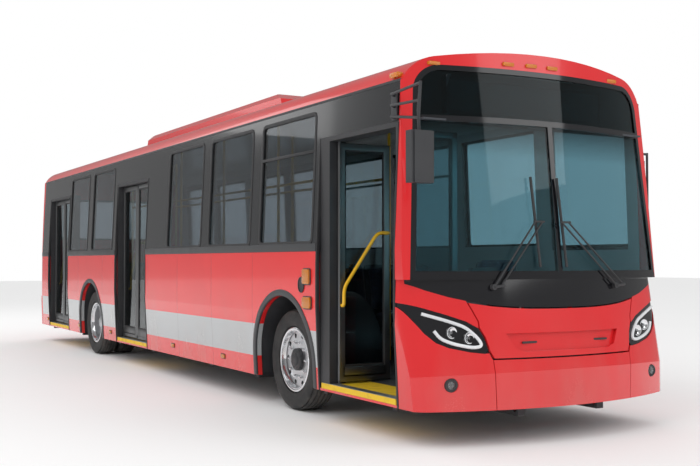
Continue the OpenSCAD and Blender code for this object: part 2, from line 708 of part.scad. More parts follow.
// Clear opening between the jambs: [front edge, rear edge]
function clear_of(d, rear_jamb) = [d[0] + jamb, d[1] - rear_jamb];
front_clear = clear_of(front_door, front_post_w);
mid_clear = clear_of(mid_door, jamb);
rear_clear = clear_of(rear_door, jamb);
// Hinge axis of a leaf stands this far from its jamb and inside the leaf's outer face
hinge_in = leaf_t / 2;
hinge_off = leaf_t / 2 + gap;
// A closed leaf with its hinge axis at the origin, reaching towards +Y, on pins at floor and header
module leaf(w) {
    leaf_panel(w);
    translate([0, 0, floor_z + fit]) cylinder(h = leaf_z0 - floor_z, r = 12);
    translate([0, 0, leaf_z1]) cylinder(h = gap - fit, r = 12);
}
module leaf_panel(w) difference() {
    block([-hinge_in, -leaf_t / 2, leaf_z0], [leaf_t - hinge_in, w - leaf_t / 2, leaf_z1]);
    for (z = [[leaf_z0 + 110, leaf_z1 - leaf_frame]])
        block([-hinge_in - 1, leaf_frame - leaf_t / 2, z[0]], [-hinge_in + leaf_t / 2 - glass_t / 2, w - leaf_t / 2 - leaf_frame, z[1]]);
    block([-hinge_in + leaf_t / 2 + glass_t / 2, leaf_frame - leaf_t / 2, leaf_z0 + 110],
        [leaf_t, w - leaf_t / 2 - leaf_frame, leaf_z1 - leaf_frame]);
}
function leaf_w(c) = (c[1] - c[0]) / 2 - gap - gap / 2;
// Leaf on the front jamb, turned open by angle
module front_leaf(c, angle) color([0.13, 0.13, 0.14])
    translate([leaf_axis_x, c[0] + hinge_off, 0]) rotate([0, 0, -angle]) leaf(leaf_w(c));
module rear_leaf(c, angle) color([0.13, 0.13, 0.14])
    translate([leaf_axis_x, c[1] - hinge_off, 0]) rotate([0, 0, angle]) mirror([0, 1, 0]) leaf(leaf_w(c));
leaf_axis_x = -leaf_x + hinge_in;

// ---------- fittings ----------
mirror_x = half_w + mirror_out;
module mirrors() color([0.08, 0.08, 0.09]) {
    // Door side: head hung from a three-bar loop
    hx = -mirror_x + mirror_w / 2;
    hy = nose_y - 460;
    hz = 2115;
    foot_x = -half_at(door_top_z + 10) - fit;
    translate([hx, hy, hz]) intersection() {
        translate([0, 0, -mirror_h / 2]) linear_extrude(mirror_h) {
            translate([-mirror_w / 2, -38]) square([mirror_w, 76]);
            translate([20 - mirror_w / 2, -48]) square([mirror_w - 40, 60]);
        }
        along_x(-mirror_w / 2, mirror_w / 2) {
            square([170, mirror_h - 60], center = true);
            square([110, mirror_h], center = true);
        }
    }
    mirror_loop(hx, hy + 20, hz + mirror_h / 2 - 10, foot_x);
    // Far side: head just behind the screen's corner on a short loop
    translate([mirror_x - far_w / 2, far_y, hz - 20])
        block([-far_w / 2, -40, -mirror_h / 2], [far_w / 2, 40, mirror_h / 2]);
    far_loop();
}
arm_r = 11;
far_w = 130;
far_y = nose_y + 185;
// Twelve-sided tube from p to q, run on past both ends by more
module tube(p, q, more) {
    d = (q - p) / norm(q - p);
    bar(p - more * d, q + more * d, arm_r, $fn = 12);
}
module mirror_loop(hx, hy, hz, fx) {
    high = [hx + 20, hy, 2650];
    low = [hx + 50, hy + 70, 2410];
    for (k = [0, 0.5, 1]) {
        knee = [fx - 60, nose_y + 10, 2635 - 170 * k];
        bar([fx - 11, nose_y + 55, knee.z], knee, arm_r, $fn = 12);
        tube(knee, high + k * (low - high), arm_r / 2);
    }
    tube(high, low, arm_r);
    tube(high, [hx, hy, 2450], arm_r / 2);
    tube([hx, hy, 2450], [hx, hy - 15, hz - 20], arm_r / 3);
    block([fx - 12, nose_y + 15, door_top_z + 10], [fx, nose_y + 95, 2665]);
}
// Upright bar on two straight arms, and a short arm to the head
module far_loop() {
    y = nose_y - 5;
    x = half_at(2100) + 70;
    for (z = [1870, 2320]) bar([half_at(z - arm_r) + fit, y, z], [x, y, z], arm_r, $fn = 12);
    tube([x, y, 1870], [x, y, 2320], arm_r * 1.1);
    bar([x, y, 2076], [mirror_x - far_w / 2, far_y, 2076], arm_r, $fn = 12);
}

// Wiper: [pivot x, blade x]
wiper_table = [[-640, -230], [600, 30]];
function screen_y(x, z) = screen_apex + (z - screen_z) * tan(screen_lean) + arc_back(screen_r, x);
module wipers() color([0.04, 0.04, 0.05]) for (w = wiper_table) {
    px = w[0];
    bx = w[1];
    pz = 1180;
    py = front_y + (pz - lean_z) * tan(lid_lean) + arc_back(bumper_r, px);
    mid_z = 1680;
    stand = 55;
    translate([px, py - 5.5, pz]) rotate([90, 0, 0]) cylinder(h = 35.5, r = 22);
    for (dx = [0, 70]) {
        bent_bar([[px + dx, py - 35, pz + dx / 6], [bx - 30 + dx, screen_y(bx, mid_z) - stand, mid_z]], 7);
    }
    bar([px, py - 35, pz], [px + 90, py - 35, pz + 10], 12);
    bar([bx - 45, screen_y(bx, mid_z) - stand, mid_z], [bx + 60, screen_y(bx, mid_z) - stand, mid_z], 8);
    bar([bx + 15, screen_y(bx, 1330) - 22, 1330], [bx - 20, screen_y(bx, 2030) - 22, 2030], 11);
    bar([bx, screen_y(bx, mid_z) - stand, mid_z], [bx, screen_y(bx, mid_z) - 22, mid_z], 8);
}

module dashboard() color([0.1, 0.1, 0.11]) {
    y0 = nose_y + 140;
    along_x(-420, half_w - wall - cove_in) polygon([[y0 - 120, floor_z], [y0 + 180, floor_z], [y0 + 260, 980], [y0 + 330, 1090],
        [y0 + 240, 1170], [y0 - 60, 1190], [y0 - 120, 1150]]);
}
driver_x = 640;
column_y = nose_y + 505;
wheel_c = [driver_x, column_y + 110, 1110];
wheel_tilt = 26;
module steering_wheel() color([0.05, 0.05, 0.06]) {
    translate([driver_x, column_y, floor_z]) cylinder(h = 560, r = 34);
    bar([driver_x, column_y, floor_z + 545], wheel_c, 28);
    translate(wheel_c) rotate([-wheel_tilt, 0, 0]) {
        rotate_extrude() translate([215, 0]) circle(r = 16, $fn = 32);
        for (a = [0, 120, 240]) rotate([0, 0, a + 90]) translate([0, -18, -6]) cube([210, 36, 12]);
        translate([0, 0, -12]) cylinder(h = 24, r = 62);
    }
}
module driver_seat() color([0.15, 0.16, 0.19]) translate([driver_x, nose_y + 890, 0]) {
    block([-150, -160, floor_z], [150, 160, 640]);
    block([-245, -230, 640], [245, 230, 760]);
    block([-120, 150, 600], [120, 300, 645]);
    translate([0, 240, 640]) rotate([-8, 0, 0]) block([-235, 0, 0], [235, 95, 800]);
}
// Double seats as [side, cushion's front edge, cushion height over the floor]
seat_pitch = 760;
seat_w = 880;
seat_rows = concat(
    [for (i = [0 : 3]) [-1, front_axle_y + housing_r + 30 + i * seat_pitch, 420]],
    [for (i = [0 : 5]) [1, front_axle_y + housing_r + 30 + i * seat_pitch, 420]],
    [for (i = [0 : 2]) [1, rear_axle_y + housing_r + 30 + i * seat_pitch, 420]]);
seat_rows_fit = [for (r = seat_rows) if (r[1] + 560 < (r[0] < 0 ? mid_door[0] - 40
    : r[1] < rear_axle_y ? rear_axle_y - housing_r - 20 : tail_y - 780)) r];
seat_lean = 10;
module double_seat(h) {
    for (x = [0, seat_w - 40]) translate([x, 60, floor_z]) block([0, 0, 0], [40, 340, h - 60 - fit]);
    block([0, 0, floor_z + h - 60], [seat_w, 450, floor_z + h + 30]);
    // The backs stand just behind the cushion
    for (x = [0, seat_w / 2 + 5]) translate([x, 450 + fit, floor_z + h + 20]) rotate([-seat_lean, 0, 0])
        block([0, 40 * tan(seat_lean), -40], [seat_w / 2 - 5, 40 * tan(seat_lean) + 80, 560]);
}
module passenger_seats() color([0.12, 0.14, 0.2]) for (r = seat_rows_fit)
    translate([r[0] > 0 ? half_w - wall - cove_in - seat_w : -half_w + wall + cove_in, r[1], 0]) double_seat(r[2]);

// Upright poles as [x, y]
pole_r = 17;
pole_x = 280;
poles = concat(
    [for (y = [front_axle_y + housing_r + 20, front_axle_y + housing_r + 20 + 2 * seat_pitch, mid_door[0] - 120,
        mid_door[1] + 140, rear_door[0] - 150]) [-pole_x, y]],
    [for (i = [0 : 3]) [pole_x, front_axle_y + housing_r + 20 + i * 1.5 * seat_pitch]],
    [[pole_x, rear_axle_y + housing_r + 20]]);
rail_h_z = 2250;
module handrails() color([0.95, 0.75, 0.05]) {
    for (p = poles) bar([p.x, p.y, floor_z], [p.x, p.y, roof_top(abs(p.x) + pole_r, wall) - 0.5], pole_r);
    // A rail from each pole to the next one
    for (s = [-1, 1]) let (ys = [for (p = poles) if (sign(p.x) == s) p.y], end = pole_r + fit)
        for (i = [1 : len(ys) - 1])
            bar([s * pole_x, ys[i - 1] + end, rail_h_z], [s * pole_x, ys[i] - end, rail_h_z], pole_r - 2);
}
module engine() color([0.25, 0.26, 0.28])
    block([-350, rear_door[1] + 70, floor_z], [900, tail_y - 25, 1350]);

// ---------- running gear ----------
front_tyre_x = half_w - front_wheel_in - tyre_w / 2;
kingpin_x = front_tyre_x - kingpin_in;
rear_outer_x = half_w - rear_wheel_in - tyre_w / 2;
rear_inner_x = rear_outer_x - tyre_w - twin_gap;
beam_z0 = rail_z0 - 52;
// Outer radius of the rear axle's tubes
axle_tube_r = spindle_r + 20;
module front_axle() color([0.1, 0.1, 0.1]) translate([0, front_axle_y, 0]) {
    difference() {
        union() {
            block([-kingpin_x - 45, -60, beam_z0], [kingpin_x + 45, 60, rail_z0 - 4]);
            both_sides() block([kingpin_x - 45, -45, beam_z0], [kingpin_x + 45, 45, tyre_r - 105]);
            both_sides() translate([kingpin_x, 0, beam_z0]) cylinder(h = tyre_r - 105 - beam_z0, r = 62);
            both_sides() translate([aisle_half - 65, 0, rail_z0 - 5]) cylinder(h = floor_under - rail_z0 + 5, r = 55);
        }
        both_sides() translate([kingpin_x, 0, 0]) cylinder(h = 2 * tyre_r, r = kingpin_r + fit);
    }
}
// Knuckle with its kingpin and spindle, on the +X side
module knuckle() {
    block([-50, -55, -75], [72, 55, 75]);
    translate([0, 0, -75]) cylinder(h = 150, r = 60);
    // Kingpin reaches down into the beam's end
    translate([0, 0, -tyre_r + beam_z0 + 6]) cylinder(h = tyre_r - beam_z0 - 70, r = kingpin_r);
    translate([60, 0, 0]) rotate([0, 90, 0]) cylinder(h = kingpin_in + front_dish + 25 - 60, r = spindle_r);
    // Brake plate and steering arm
    translate([72, 0, 0]) rotate([0, 90, 0]) cylinder(h = 16, r = 205);
    block([-30, 50, -30], [10, 210, 0]);
}
module knuckle_at(s) color([0.14, 0.14, 0.15]) translate([s * kingpin_x, front_axle_y, tyre_r])
    mirror([s < 0 ? 1 : 0, 0, 0]) knuckle();
module rear_axle() color([0.1, 0.1, 0.1]) translate([0, rear_axle_y, 0]) {
    inner = aisle_half + 30 + housing_t + 5;
    block([-inner - 60, -90, beam_z0], [inner + 60, 90, rail_z0 - 4]);
    both_sides() block([inner, -100, beam_z0], [inner + 60, 100, tyre_r + 110]);
    both_sides() translate([inner + 50, 0, tyre_r]) rotate([0, 90, 0])
        cylinder(h = rear_outer_x - 20 - inner - 50, r = axle_tube_r);
    both_sides() for (y = [-200, 200]) {
        translate([aisle_half - 65, y, rail_z0 - 20]) cylinder(h = floor_under - rail_z0 + 20, r = 60);
        block([aisle_half - 115, min(0, y), beam_z0], [aisle_half - 20, max(0, y), rail_z0 - 20]);
    }
}
// Tyre round the X axis, its middle plane at x = 0
module tyre() rotate([0, 90, 0]) rotate_extrude(convexity = 4) difference() {
    w = tyre_w / 2;
    polygon([[rim_r - 8, -w + 40], [rim_r + 1, -w + 40], [rim_r + 1, -w + 26], [rim_r + 14, -w + 20], [rim_r + 60, -w + 4], [tyre_r - 75, -w], [tyre_r - 38, -w + 5],
        [tyre_r - 12, -w + 22], [tyre_r - 3, -w + 44], [tyre_r, 0], [tyre_r - 3, w - 44], [tyre_r - 12, w - 22],
        [tyre_r - 38, w - 5], [tyre_r - 75, w], [rim_r + 60, w - 4], [rim_r + 14, w - 20],
        [rim_r + 1, w - 26], [rim_r + 1, w - 40], [rim_r - 8, w - 40]]);
    translate([0, -w + 40]) square([rim_r - 8, tyre_w]);
}
// Front rim round the X axis, its disc towards +X by dish
module rim(dish) rotate([0, 90, 0]) difference() {
    union() {
        barrel();
        translate([0, 0, dish]) cylinder(h = 14, r = rim_r - 20);
        translate([0, 0, dish - 30]) cylinder(h = 80, r = 92);
    }
    translate([0, 0, dish - 31]) cylinder(h = 60, r = spindle_r + fit);
    for (i = [0 : 9]) rotate([0, 0, i * 36 + 18]) translate([225, 0, dish - 1]) cylinder(h = 20, r = 22);
}
front_dish = 40;
module front_tyre_at(s) color([0.07, 0.07, 0.07]) translate([s * front_tyre_x, front_axle_y, tyre_r]) tyre();
module front_rim_at(s) color([0.75, 0.77, 0.8]) translate([s * front_tyre_x, front_axle_y, tyre_r])
    mirror([s < 0 ? 1 : 0, 0, 0]) rim(front_dish);
module rear_tyres_at(s) color([0.07, 0.07, 0.07]) for (x = [rear_outer_x, rear_inner_x])
    translate([s * x, rear_axle_y, tyre_r]) tyre();
module rear_rims_at(s) color([0.75, 0.77, 0.8]) translate([0, rear_axle_y, tyre_r]) mirror([s < 0 ? 1 : 0, 0, 0])
    difference() {
        union() {
            translate([rear_outer_x, 0, 0]) rear_rim();
            translate([rear_inner_x, 0, 0]) mirror([1, 0, 0]) rear_rim();
            translate([rear_inner_x + 55, 0, 0]) rotate([0, 90, 0])
                cylinder(h = rear_outer_x - rear_inner_x - 110, r = 120);
        }
        translate([rear_inner_x - 1, 0, 0]) rotate([0, 90, 0])
            cylinder(h = rear_outer_x - 15 - rear_inner_x + 1, r = axle_tube_r + fit);
    }
// Rim's barrel and flanges round the Z axis
module barrel() {
    w = tyre_w / 2 - 40;
    rotate_extrude() difference() {
        translate([0, -w]) square([rim_r - 8, 2 * w]);
        translate([-1, -w - 1]) square([rim_r - 25, 2 * w + 2]);
    }
    for (z = [w, -w - 12]) translate([0, 0, z]) rotate_extrude() translate([rim_r - 26, 0]) square([25, 12]);
}
module rear_rim() rotate([0, 90, 0]) difference() {
    union() {
        barrel();
        translate([0, 0, -60]) cylinder(h = 14, r = rim_r - 20);
        translate([0, 0, -60]) cylinder(h = 60, r = 120);
    }
    for (i = [0 : 9]) rotate([0, 0, i * 36 + 18]) translate([210, 0, -61]) cylinder(h = 20, r = 20);
}

chassis_frame();
floor_body();  // floor
wheel_housings();
side_panels_right();
side_panels_left();
window_band_right();
window_band_left();
roof();
roof_pod();
front_mask();
front_lid();
front_bumper();
screen_frame();
front_glass();
side_glass();
rear_wall();
rear_bumper();
engine_lid();
rear_window();
front_lamps();
rear_lamps();
door_frames();
front_leaf(front_clear, 90);  // front_door_front_leaf
rear_leaf(front_clear, 90);  // front_door_rear_leaf
front_leaf(mid_clear, 0);  // middle_door_front_leaf
rear_leaf(mid_clear, 0);  // middle_door_rear_leaf
front_leaf(rear_clear, 0);  // rear_door_front_leaf
rear_leaf(rear_clear, 0);  // rear_door_rear_leaf
mirrors();
wipers();
dashboard();
steering_wheel();
driver_seat();
passenger_seats();
handrails();
engine();
front_axle();
knuckle_at(-1);  // knuckle_right
knuckle_at(1);  // knuckle_left
rear_axle();
front_tyre_at(-1);  // front_right_tyre
front_rim_at(-1);  // front_right_rim
front_tyre_at(1);  // front_left_tyre
front_rim_at(1);  // front_left_rim
rear_tyres_at(-1);  // rear_right_tyres
rear_rims_at(-1);  // rear_right_rims
rear_tyres_at(1);  // rear_left_tyres
rear_rims_at(1);  // rear_left_rims
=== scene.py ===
"""Finishes, fine pieces and soft pieces of a three-door city bus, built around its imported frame.

Metres, +Z up. The bus faces -Y, its doors are on the -X side, and the origin is on the ground
under the middle of the overall box. Each sub-assembly is a class whose fields are its sizes.
"""

import json
import logging
import math
from contextlib import contextmanager
from dataclasses import dataclass
from enum import Enum
from typing import Callable, Dict, Iterator, List, Optional, Sequence, Tuple

import bpy
from mathutils import Matrix, Vector

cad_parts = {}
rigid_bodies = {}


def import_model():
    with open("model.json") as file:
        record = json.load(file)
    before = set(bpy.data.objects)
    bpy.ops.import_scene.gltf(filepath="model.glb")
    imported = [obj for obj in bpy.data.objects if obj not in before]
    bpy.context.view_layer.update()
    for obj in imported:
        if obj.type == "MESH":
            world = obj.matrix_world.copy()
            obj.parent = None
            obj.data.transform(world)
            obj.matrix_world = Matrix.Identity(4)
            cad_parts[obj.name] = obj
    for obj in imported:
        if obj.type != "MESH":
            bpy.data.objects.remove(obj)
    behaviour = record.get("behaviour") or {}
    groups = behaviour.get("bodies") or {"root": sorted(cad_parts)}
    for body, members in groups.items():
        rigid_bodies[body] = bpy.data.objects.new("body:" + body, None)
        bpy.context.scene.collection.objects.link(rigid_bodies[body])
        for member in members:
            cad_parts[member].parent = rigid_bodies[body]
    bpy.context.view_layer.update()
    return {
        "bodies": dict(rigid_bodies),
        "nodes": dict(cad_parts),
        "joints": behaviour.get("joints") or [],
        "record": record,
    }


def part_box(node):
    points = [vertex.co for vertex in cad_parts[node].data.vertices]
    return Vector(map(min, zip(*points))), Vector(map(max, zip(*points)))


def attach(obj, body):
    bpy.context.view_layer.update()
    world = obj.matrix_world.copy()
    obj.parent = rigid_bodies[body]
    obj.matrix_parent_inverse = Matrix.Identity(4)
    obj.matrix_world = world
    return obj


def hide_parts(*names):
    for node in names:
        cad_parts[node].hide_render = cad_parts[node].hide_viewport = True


Point = Tuple[float, float, float]
Colour = Tuple[float, float, float]
LOG = logging.getLogger("bus")
MERGE = 1e-5
ORIGIN: Point = (0.0, 0.0, 0.0)


class Side(Enum):
    """The two sides of the bus, by the sign of X."""

    DOORS = -1
    DRIVER = 1


class Axis(Enum):
    """A main axis, by its index."""

    X = 0
    Y = 1
    Z = 2


@dataclass(frozen=True)
class Section:
    """Driving sizes of the body's cross-section and nose, as in the construction."""

    half_w: float = 1.3
    skirt_z: float = 0.27
    bend_z: float = 0.9
    skirt_in: float = 0.035
    belt_z: float = 1.46
    cove_z: float = 2.757
    cove_in: float = 0.056
    front_y: float = -6.125
    lean_z: float = 0.55
    lid_lean: float = math.radians(10.5)
    bumper_r: float = 3.06
    corner_r: float = 0.22
    screen_z: float = 1.237
    screen_lean: float = math.radians(6)
    screen_r: float = 3.6
    post_r: float = 0.09

    def inset(self, z: float) -> float:
        """How far the side stands in from its widest plane at height z."""
        if z < self.bend_z:
            return self.skirt_in * (self.bend_z - z) / (self.bend_z - self.skirt_z)
        if z < self.belt_z:
            return 0.0
        return self.cove_in * (z - self.belt_z) / (self.cove_z - self.belt_z)

    @staticmethod
    def _plan(x: float, big_r: float, corner_r: float, half: float) -> float:
        """Depth of a nose plan at x: a wide arc with round corners.

        Args:
            x: Distance from the centre plane.
            big_r: Radius of the wide arc.
            corner_r: Radius of the corners.
            half: Half width of the plan.

        Returns:
            The depth behind the plan's foremost point.
        """
        corner_x = half - corner_r
        turn = corner_x / (big_r - corner_r) * big_r
        if abs(x) <= turn:
            return big_r - math.sqrt(big_r * big_r - x * x)
        corner_y = big_r - math.sqrt((big_r - corner_r) ** 2 - corner_x ** 2)
        reach = min(abs(x) - corner_x, corner_r)
        return corner_y - math.sqrt(corner_r ** 2 - reach ** 2)

    def low_face(self, x: float, z: float) -> float:
        """Y of the bumper's and lid's face at x and z."""
        lean = max(0.0, z - self.lean_z) * math.tan(self.lid_lean)
        return self.front_y + lean + self._plan(x, self.bumper_r, self.corner_r, self.half_w)

    def high_face(self, x: float, z: float) -> float:
        """Y of the windscreen's face at x and z."""
        foot = self.front_y + (self.screen_z - self.lean_z) * math.tan(self.lid_lean)
        lean = (z - self.screen_z) * math.tan(self.screen_lean)
        return foot + lean + self._plan(x, self.screen_r, self.post_r, self.half_w + 0.012)


BODY = Section()


# ---------------------------------------------------------------- shader graphs


class Value:
    """A number or colour that a node gives, with arithmetic that adds Math nodes."""

    def __init__(self, graph: "Graph", socket: bpy.types.NodeSocket) -> None:
        """Wraps one output socket of a graph."""
        self.graph = graph
        self.socket = socket

    def _math(self, operation: str, *values: object) -> "Value":
        """Adds a Math node.

        Args:
            operation: The node's operation.
            *values: Its inputs in order.

        Returns:
            The node's output.
        """
        inputs = {index: value for index, value in enumerate(values)}
        return self.graph.node("ShaderNodeMath", {"operation": operation}, inputs)

    def __add__(self, other: object) -> "Value":
        """Sum."""
        return self._math("ADD", self, other)

    def __radd__(self, other: object) -> "Value":
        """Sum with a plain number first."""
        return self._math("ADD", other, self)

    def __sub__(self, other: object) -> "Value":
        """Difference."""
        return self._math("SUBTRACT", self, other)

    def __rsub__(self, other: object) -> "Value":
        """Difference with a plain number first."""
        return self._math("SUBTRACT", other, self)

    def __mul__(self, other: object) -> "Value":
        """Product."""
        return self._math("MULTIPLY", self, other)

    def __rmul__(self, other: object) -> "Value":
        """Product with a plain number first."""
        return self._math("MULTIPLY", other, self)

    def __truediv__(self, other: object) -> "Value":
        """Quotient."""
        return self._math("DIVIDE", self, other)

    def __gt__(self, other: object) -> "Value":
        """1 where this is over the other, else 0."""
        return self._math("GREATER_THAN", self, other)

    def __lt__(self, other: object) -> "Value":
        """1 where this is under the other, else 0."""
        return self._math("LESS_THAN", self, other)

    def __abs__(self) -> "Value":
        """Size without its sign."""
        return self._math("ABSOLUTE", self)

    def within(self, low: float, high: float) -> "Value":
        """1 between two bounds, else 0."""
        return (self > low) * (self < high)

    def sine(self) -> "Value":
        """Sine of an angle in radians."""
        return self._math("SINE", self)

    def root(self) -> "Value":
        """Square root."""
        return self._math("SQRT", self)

    def ramp(self, low: float, high: float) -> "Value":
        """0 at low and 1 at high, straight between them and clamped.

        Args:
            low: Value that gives 0.
            high: Value that gives 1.

        Returns:
            The mapped value.
        """
        settings = {"clamp": True}
        inputs = {0: self, 1: low, 2: high, 3: 0.0, 4: 1.0}
        return self.graph.node("ShaderNodeMapRange", settings, inputs)


class Graph:
    """The node tree of one material, with its Principled shader."""

    def __init__(self, name: str) -> None:
        """Starts an empty material of that name."""
        self.material = bpy.data.materials.new(name)
        self.material.use_nodes = True
        self.tree = self.material.node_tree
        self.tree.nodes.clear()
        self.shader = self.tree.nodes.new("ShaderNodeBsdfPrincipled")
        output = self.tree.nodes.new("ShaderNodeOutputMaterial")
        self.tree.links.new(self.shader.outputs[0], output.inputs[0])

    def node(
        self,
        kind: str,
        settings: Optional[Dict[str, object]] = None,
        inputs: Optional[Dict[object, object]] = None,
        out: object = 0,
    ) -> Value:
        """Adds one node.

        Args:
            kind: The node's type.
            settings: Attributes that are set first.
            inputs: Values or links by socket name or index.
            out: Name or index of the output that is wanted.

        Returns:
            That output.
        """
        made = self.tree.nodes.new(kind)
        for key, value in (settings or {}).items():
            setattr(made, key, value)
        for key, value in (inputs or {}).items():
            self.plug(made.inputs[key], value)
        return Value(self, made.outputs[out])

    def plug(self, socket: bpy.types.NodeSocket, value: object) -> None:
        """Links a Value to a socket, or sets a plain value on it."""
        if isinstance(value, Value):
            self.tree.links.new(value.socket, socket)
        elif isinstance(value, tuple) and len(value) == 3 and socket.type == "RGBA":
            socket.default_value = (*value, 1.0)
        else:
            socket.default_value = value

    def place(self) -> Value:
        """Object coordinates."""
        return self.node("ShaderNodeTexCoord", out="Object")

    def xyz(self, vector: Optional[Value] = None) -> Tuple[Value, Value, Value]:
        """The three parts of a vector, of the place by default."""
        source = vector or self.place()
        made = self.tree.nodes.new("ShaderNodeSeparateXYZ")
        self.plug(made.inputs[0], source)
        return Value(self, made.outputs[0]), Value(self, made.outputs[1]), Value(self, made.outputs[2])

    def normal(self) -> Value:
        """The surface's normal."""
        return self.node("ShaderNodeNewGeometry", out="Normal")

    def noise(self, scale: float, detail: float = 3.0, stretch: Point = (1, 1, 1)) -> Value:
        """Noise on the place.

        Args:
            scale: Features per metre.
            detail: Octaves.
            stretch: Scale along each axis.

        Returns:
            Noise between 0 and 1, near 0.5.
        """
        mapped = self.node("ShaderNodeMapping", {}, {"Vector": self.place(), "Scale": stretch})
        inputs = {"Vector": mapped, "Scale": scale, "Detail": detail}
        return self.node("ShaderNodeTexNoise", {}, inputs)

    def mix(self, factor: object, first: object, second: object) -> Value:
        """Mixes two colours.

        Args:
            factor: 0 for the first, 1 for the second.
            first: Colour or link.
            second: Colour or link.

        Returns:
            The mixed colour.
        """
        made = self.tree.nodes.new("ShaderNodeMix")
        made.data_type = "RGBA"
        self.plug(made.inputs["Factor"], factor)
        for index, value in ((6, first), (7, second)):
            self.plug(made.inputs[index], value)
        return Value(self, made.outputs[2])

    def bump(self, height: Value, distance: float, strength: float = 1.0) -> None:
        """Feeds a height in metres times distance to the shader's normal."""
        inputs = {"Height": height, "Distance": distance, "Strength": strength}
        self.set("Normal", self.node("ShaderNodeBump", {}, inputs))

    def set(self, socket: str, value: object) -> None:
        """Sets or links one of the shader's sockets."""
        self.plug(self.shader.inputs[socket], value)


@dataclass(frozen=True)
class Finish:
    """A surface finish: its name, colour and gloss."""

    name: str
    colour: Colour
    roughness: float = 0.4

    def dress(self, graph: Graph) -> None:
        """Lays an even colour with slight cloudiness and a fine uneven gloss."""
        cloud = graph.noise(6.0).ramp(0.3, 0.7)
        dull = tuple(part * 0.82 for part in self.colour)
        graph.set("Base Color", graph.mix(cloud, dull, self.colour))
        graph.set("Roughness", graph.noise(40.0) * 0.12 + (self.roughness - 0.06))

    def material(self) -> bpy.types.Material:
        """The finish's material, made at its first use."""
        known = bpy.data.materials.get(self.name)
        if known:
            return known
        graph = Graph(self.name)
        self.dress(graph)
        return graph.material

    def cover(self, piece: bpy.types.Object) -> None:
        """Puts the finish in every material slot of a piece."""
        if not piece.material_slots:
            piece.data.materials.append(None)
        for slot in piece.material_slots:
            slot.material = self.material()


@dataclass(frozen=True)
class Paint(Finish):
    """Sprayed gloss paint with dust low down, panel joints, a stripe and a lined inner face."""

    dust: float = 0.35
    stripe: bool = False
    joints: Tuple[float, ...] = ()
    lined: bool = False
    ceiling: bool = False

    def dress(self, graph: Graph) -> None:
        """Paints colour, stripe, joints, dust and orange-peel bump."""
        x, y, z = graph.xyz()
        cloud = graph.noise(1.6, 4.0).ramp(0.25, 0.75)
        deep = tuple(part * 0.93 for part in self.colour)
        colour = graph.mix(cloud, deep, self.colour)
        if self.stripe:
            silver = graph.mix(graph.noise(300.0, 1.0), (0.40, 0.42, 0.43), (0.46, 0.48, 0.49))
            colour = graph.mix(z.within(0.458, 0.772), colour, silver)
        groove = None
        for place in self.joints:
            line = abs(y - place) < 0.0022
            groove = line if groove is None else groove + line
        if groove is not None:
            groove = groove * (z < 1.455)
            colour = graph.mix(groove * 0.75, colour, (0.05, 0.01, 0.01))
        streaks = graph.noise(2.2, 5.0, (1, 1, 0.35)).ramp(0.42, 0.75)
        dust = (1.0 - z.ramp(0.25, 1.1)) * streaks * self.dust
        colour = graph.mix(dust, colour, (0.42, 0.34, 0.29))
        rough = dust * 0.5 + self.roughness + graph.noise(90.0) * 0.05
        if self.lined:
            inner = (graph.xyz(graph.normal())[0] * x) < -0.5
            colour = graph.mix(inner, colour, (0.42, 0.43, 0.44))
            rough = rough + inner * 0.4
        if self.ceiling:
            inner = (graph.xyz(graph.normal())[2] < -0.3) * (abs(x) < 1.24)
            colour = graph.mix(inner, colour, (0.62, 0.63, 0.62))
            rough = rough + inner * 0.4
        graph.set("Base Color", colour)
        graph.set("Roughness", rough)
        graph.set("Coat Weight", 0.55)
        graph.set("Coat Roughness", 0.06)
        height = graph.noise(240.0, 1.0) * 0.12
        if groove is not None:
            height = height - groove
        graph.bump(height, 0.0012, 0.5)


@dataclass(frozen=True)
class Grained(Finish):
    """Moulded plastic or rubber with a leathery grain and pale rubbed dust."""

    grain: float = 420.0
    depth: float = 0.0005
    dust: float = 0.25

    def dress(self, graph: Graph) -> None:
        """Lays grain, dust in the lows and rubbed gloss."""
        cells = {"Vector": graph.place(), "Scale": self.grain}
        grain = graph.node("ShaderNodeTexVoronoi", {}, cells)
        patch = graph.noise(5.0, 5.0).ramp(0.4, 0.8)
        pale = tuple(part * 0.6 + 0.06 for part in self.colour)
        graph.set("Base Color", graph.mix(patch * self.dust, self.colour, pale))
        graph.set("Roughness", patch * 0.15 + self.roughness)
        graph.bump(grain, self.depth, 0.6)


@dataclass(frozen=True)
class Tread(Finish):
    """Tyre rubber: dusty tread, fine rings and a scuffed shoulder on the wall, round each wheel's axis."""

    centre_y: float = 0.0
    centre_z: float = 0.465

    def dress(self, graph: Graph) -> None:
        """Lays rings by the distance from the axle and road dust towards the tread."""
        _, y, z = graph.xyz()
        across = y - self.centre_y
        up = z - self.centre_z
        radius = (across * across + up * up).root()
        rings = (radius * 900.0).sine() * 0.5 + 0.5
        wall = radius.within(0.33, 0.445)
        dust = graph.noise(9.0, 5.0).ramp(0.35, 0.75) * (0.25 + 0.75 * radius.ramp(0.41, 0.465))
        colour = graph.mix(dust * 0.7, self.colour, (0.16, 0.145, 0.13))
        graph.set("Base Color", colour)
        graph.set("Roughness", graph.noise(60.0) * 0.15 + self.roughness)
        graph.bump(rings * wall * 0.35 + graph.noise(700.0, 2.0) * 0.5, 0.0009, 0.6)


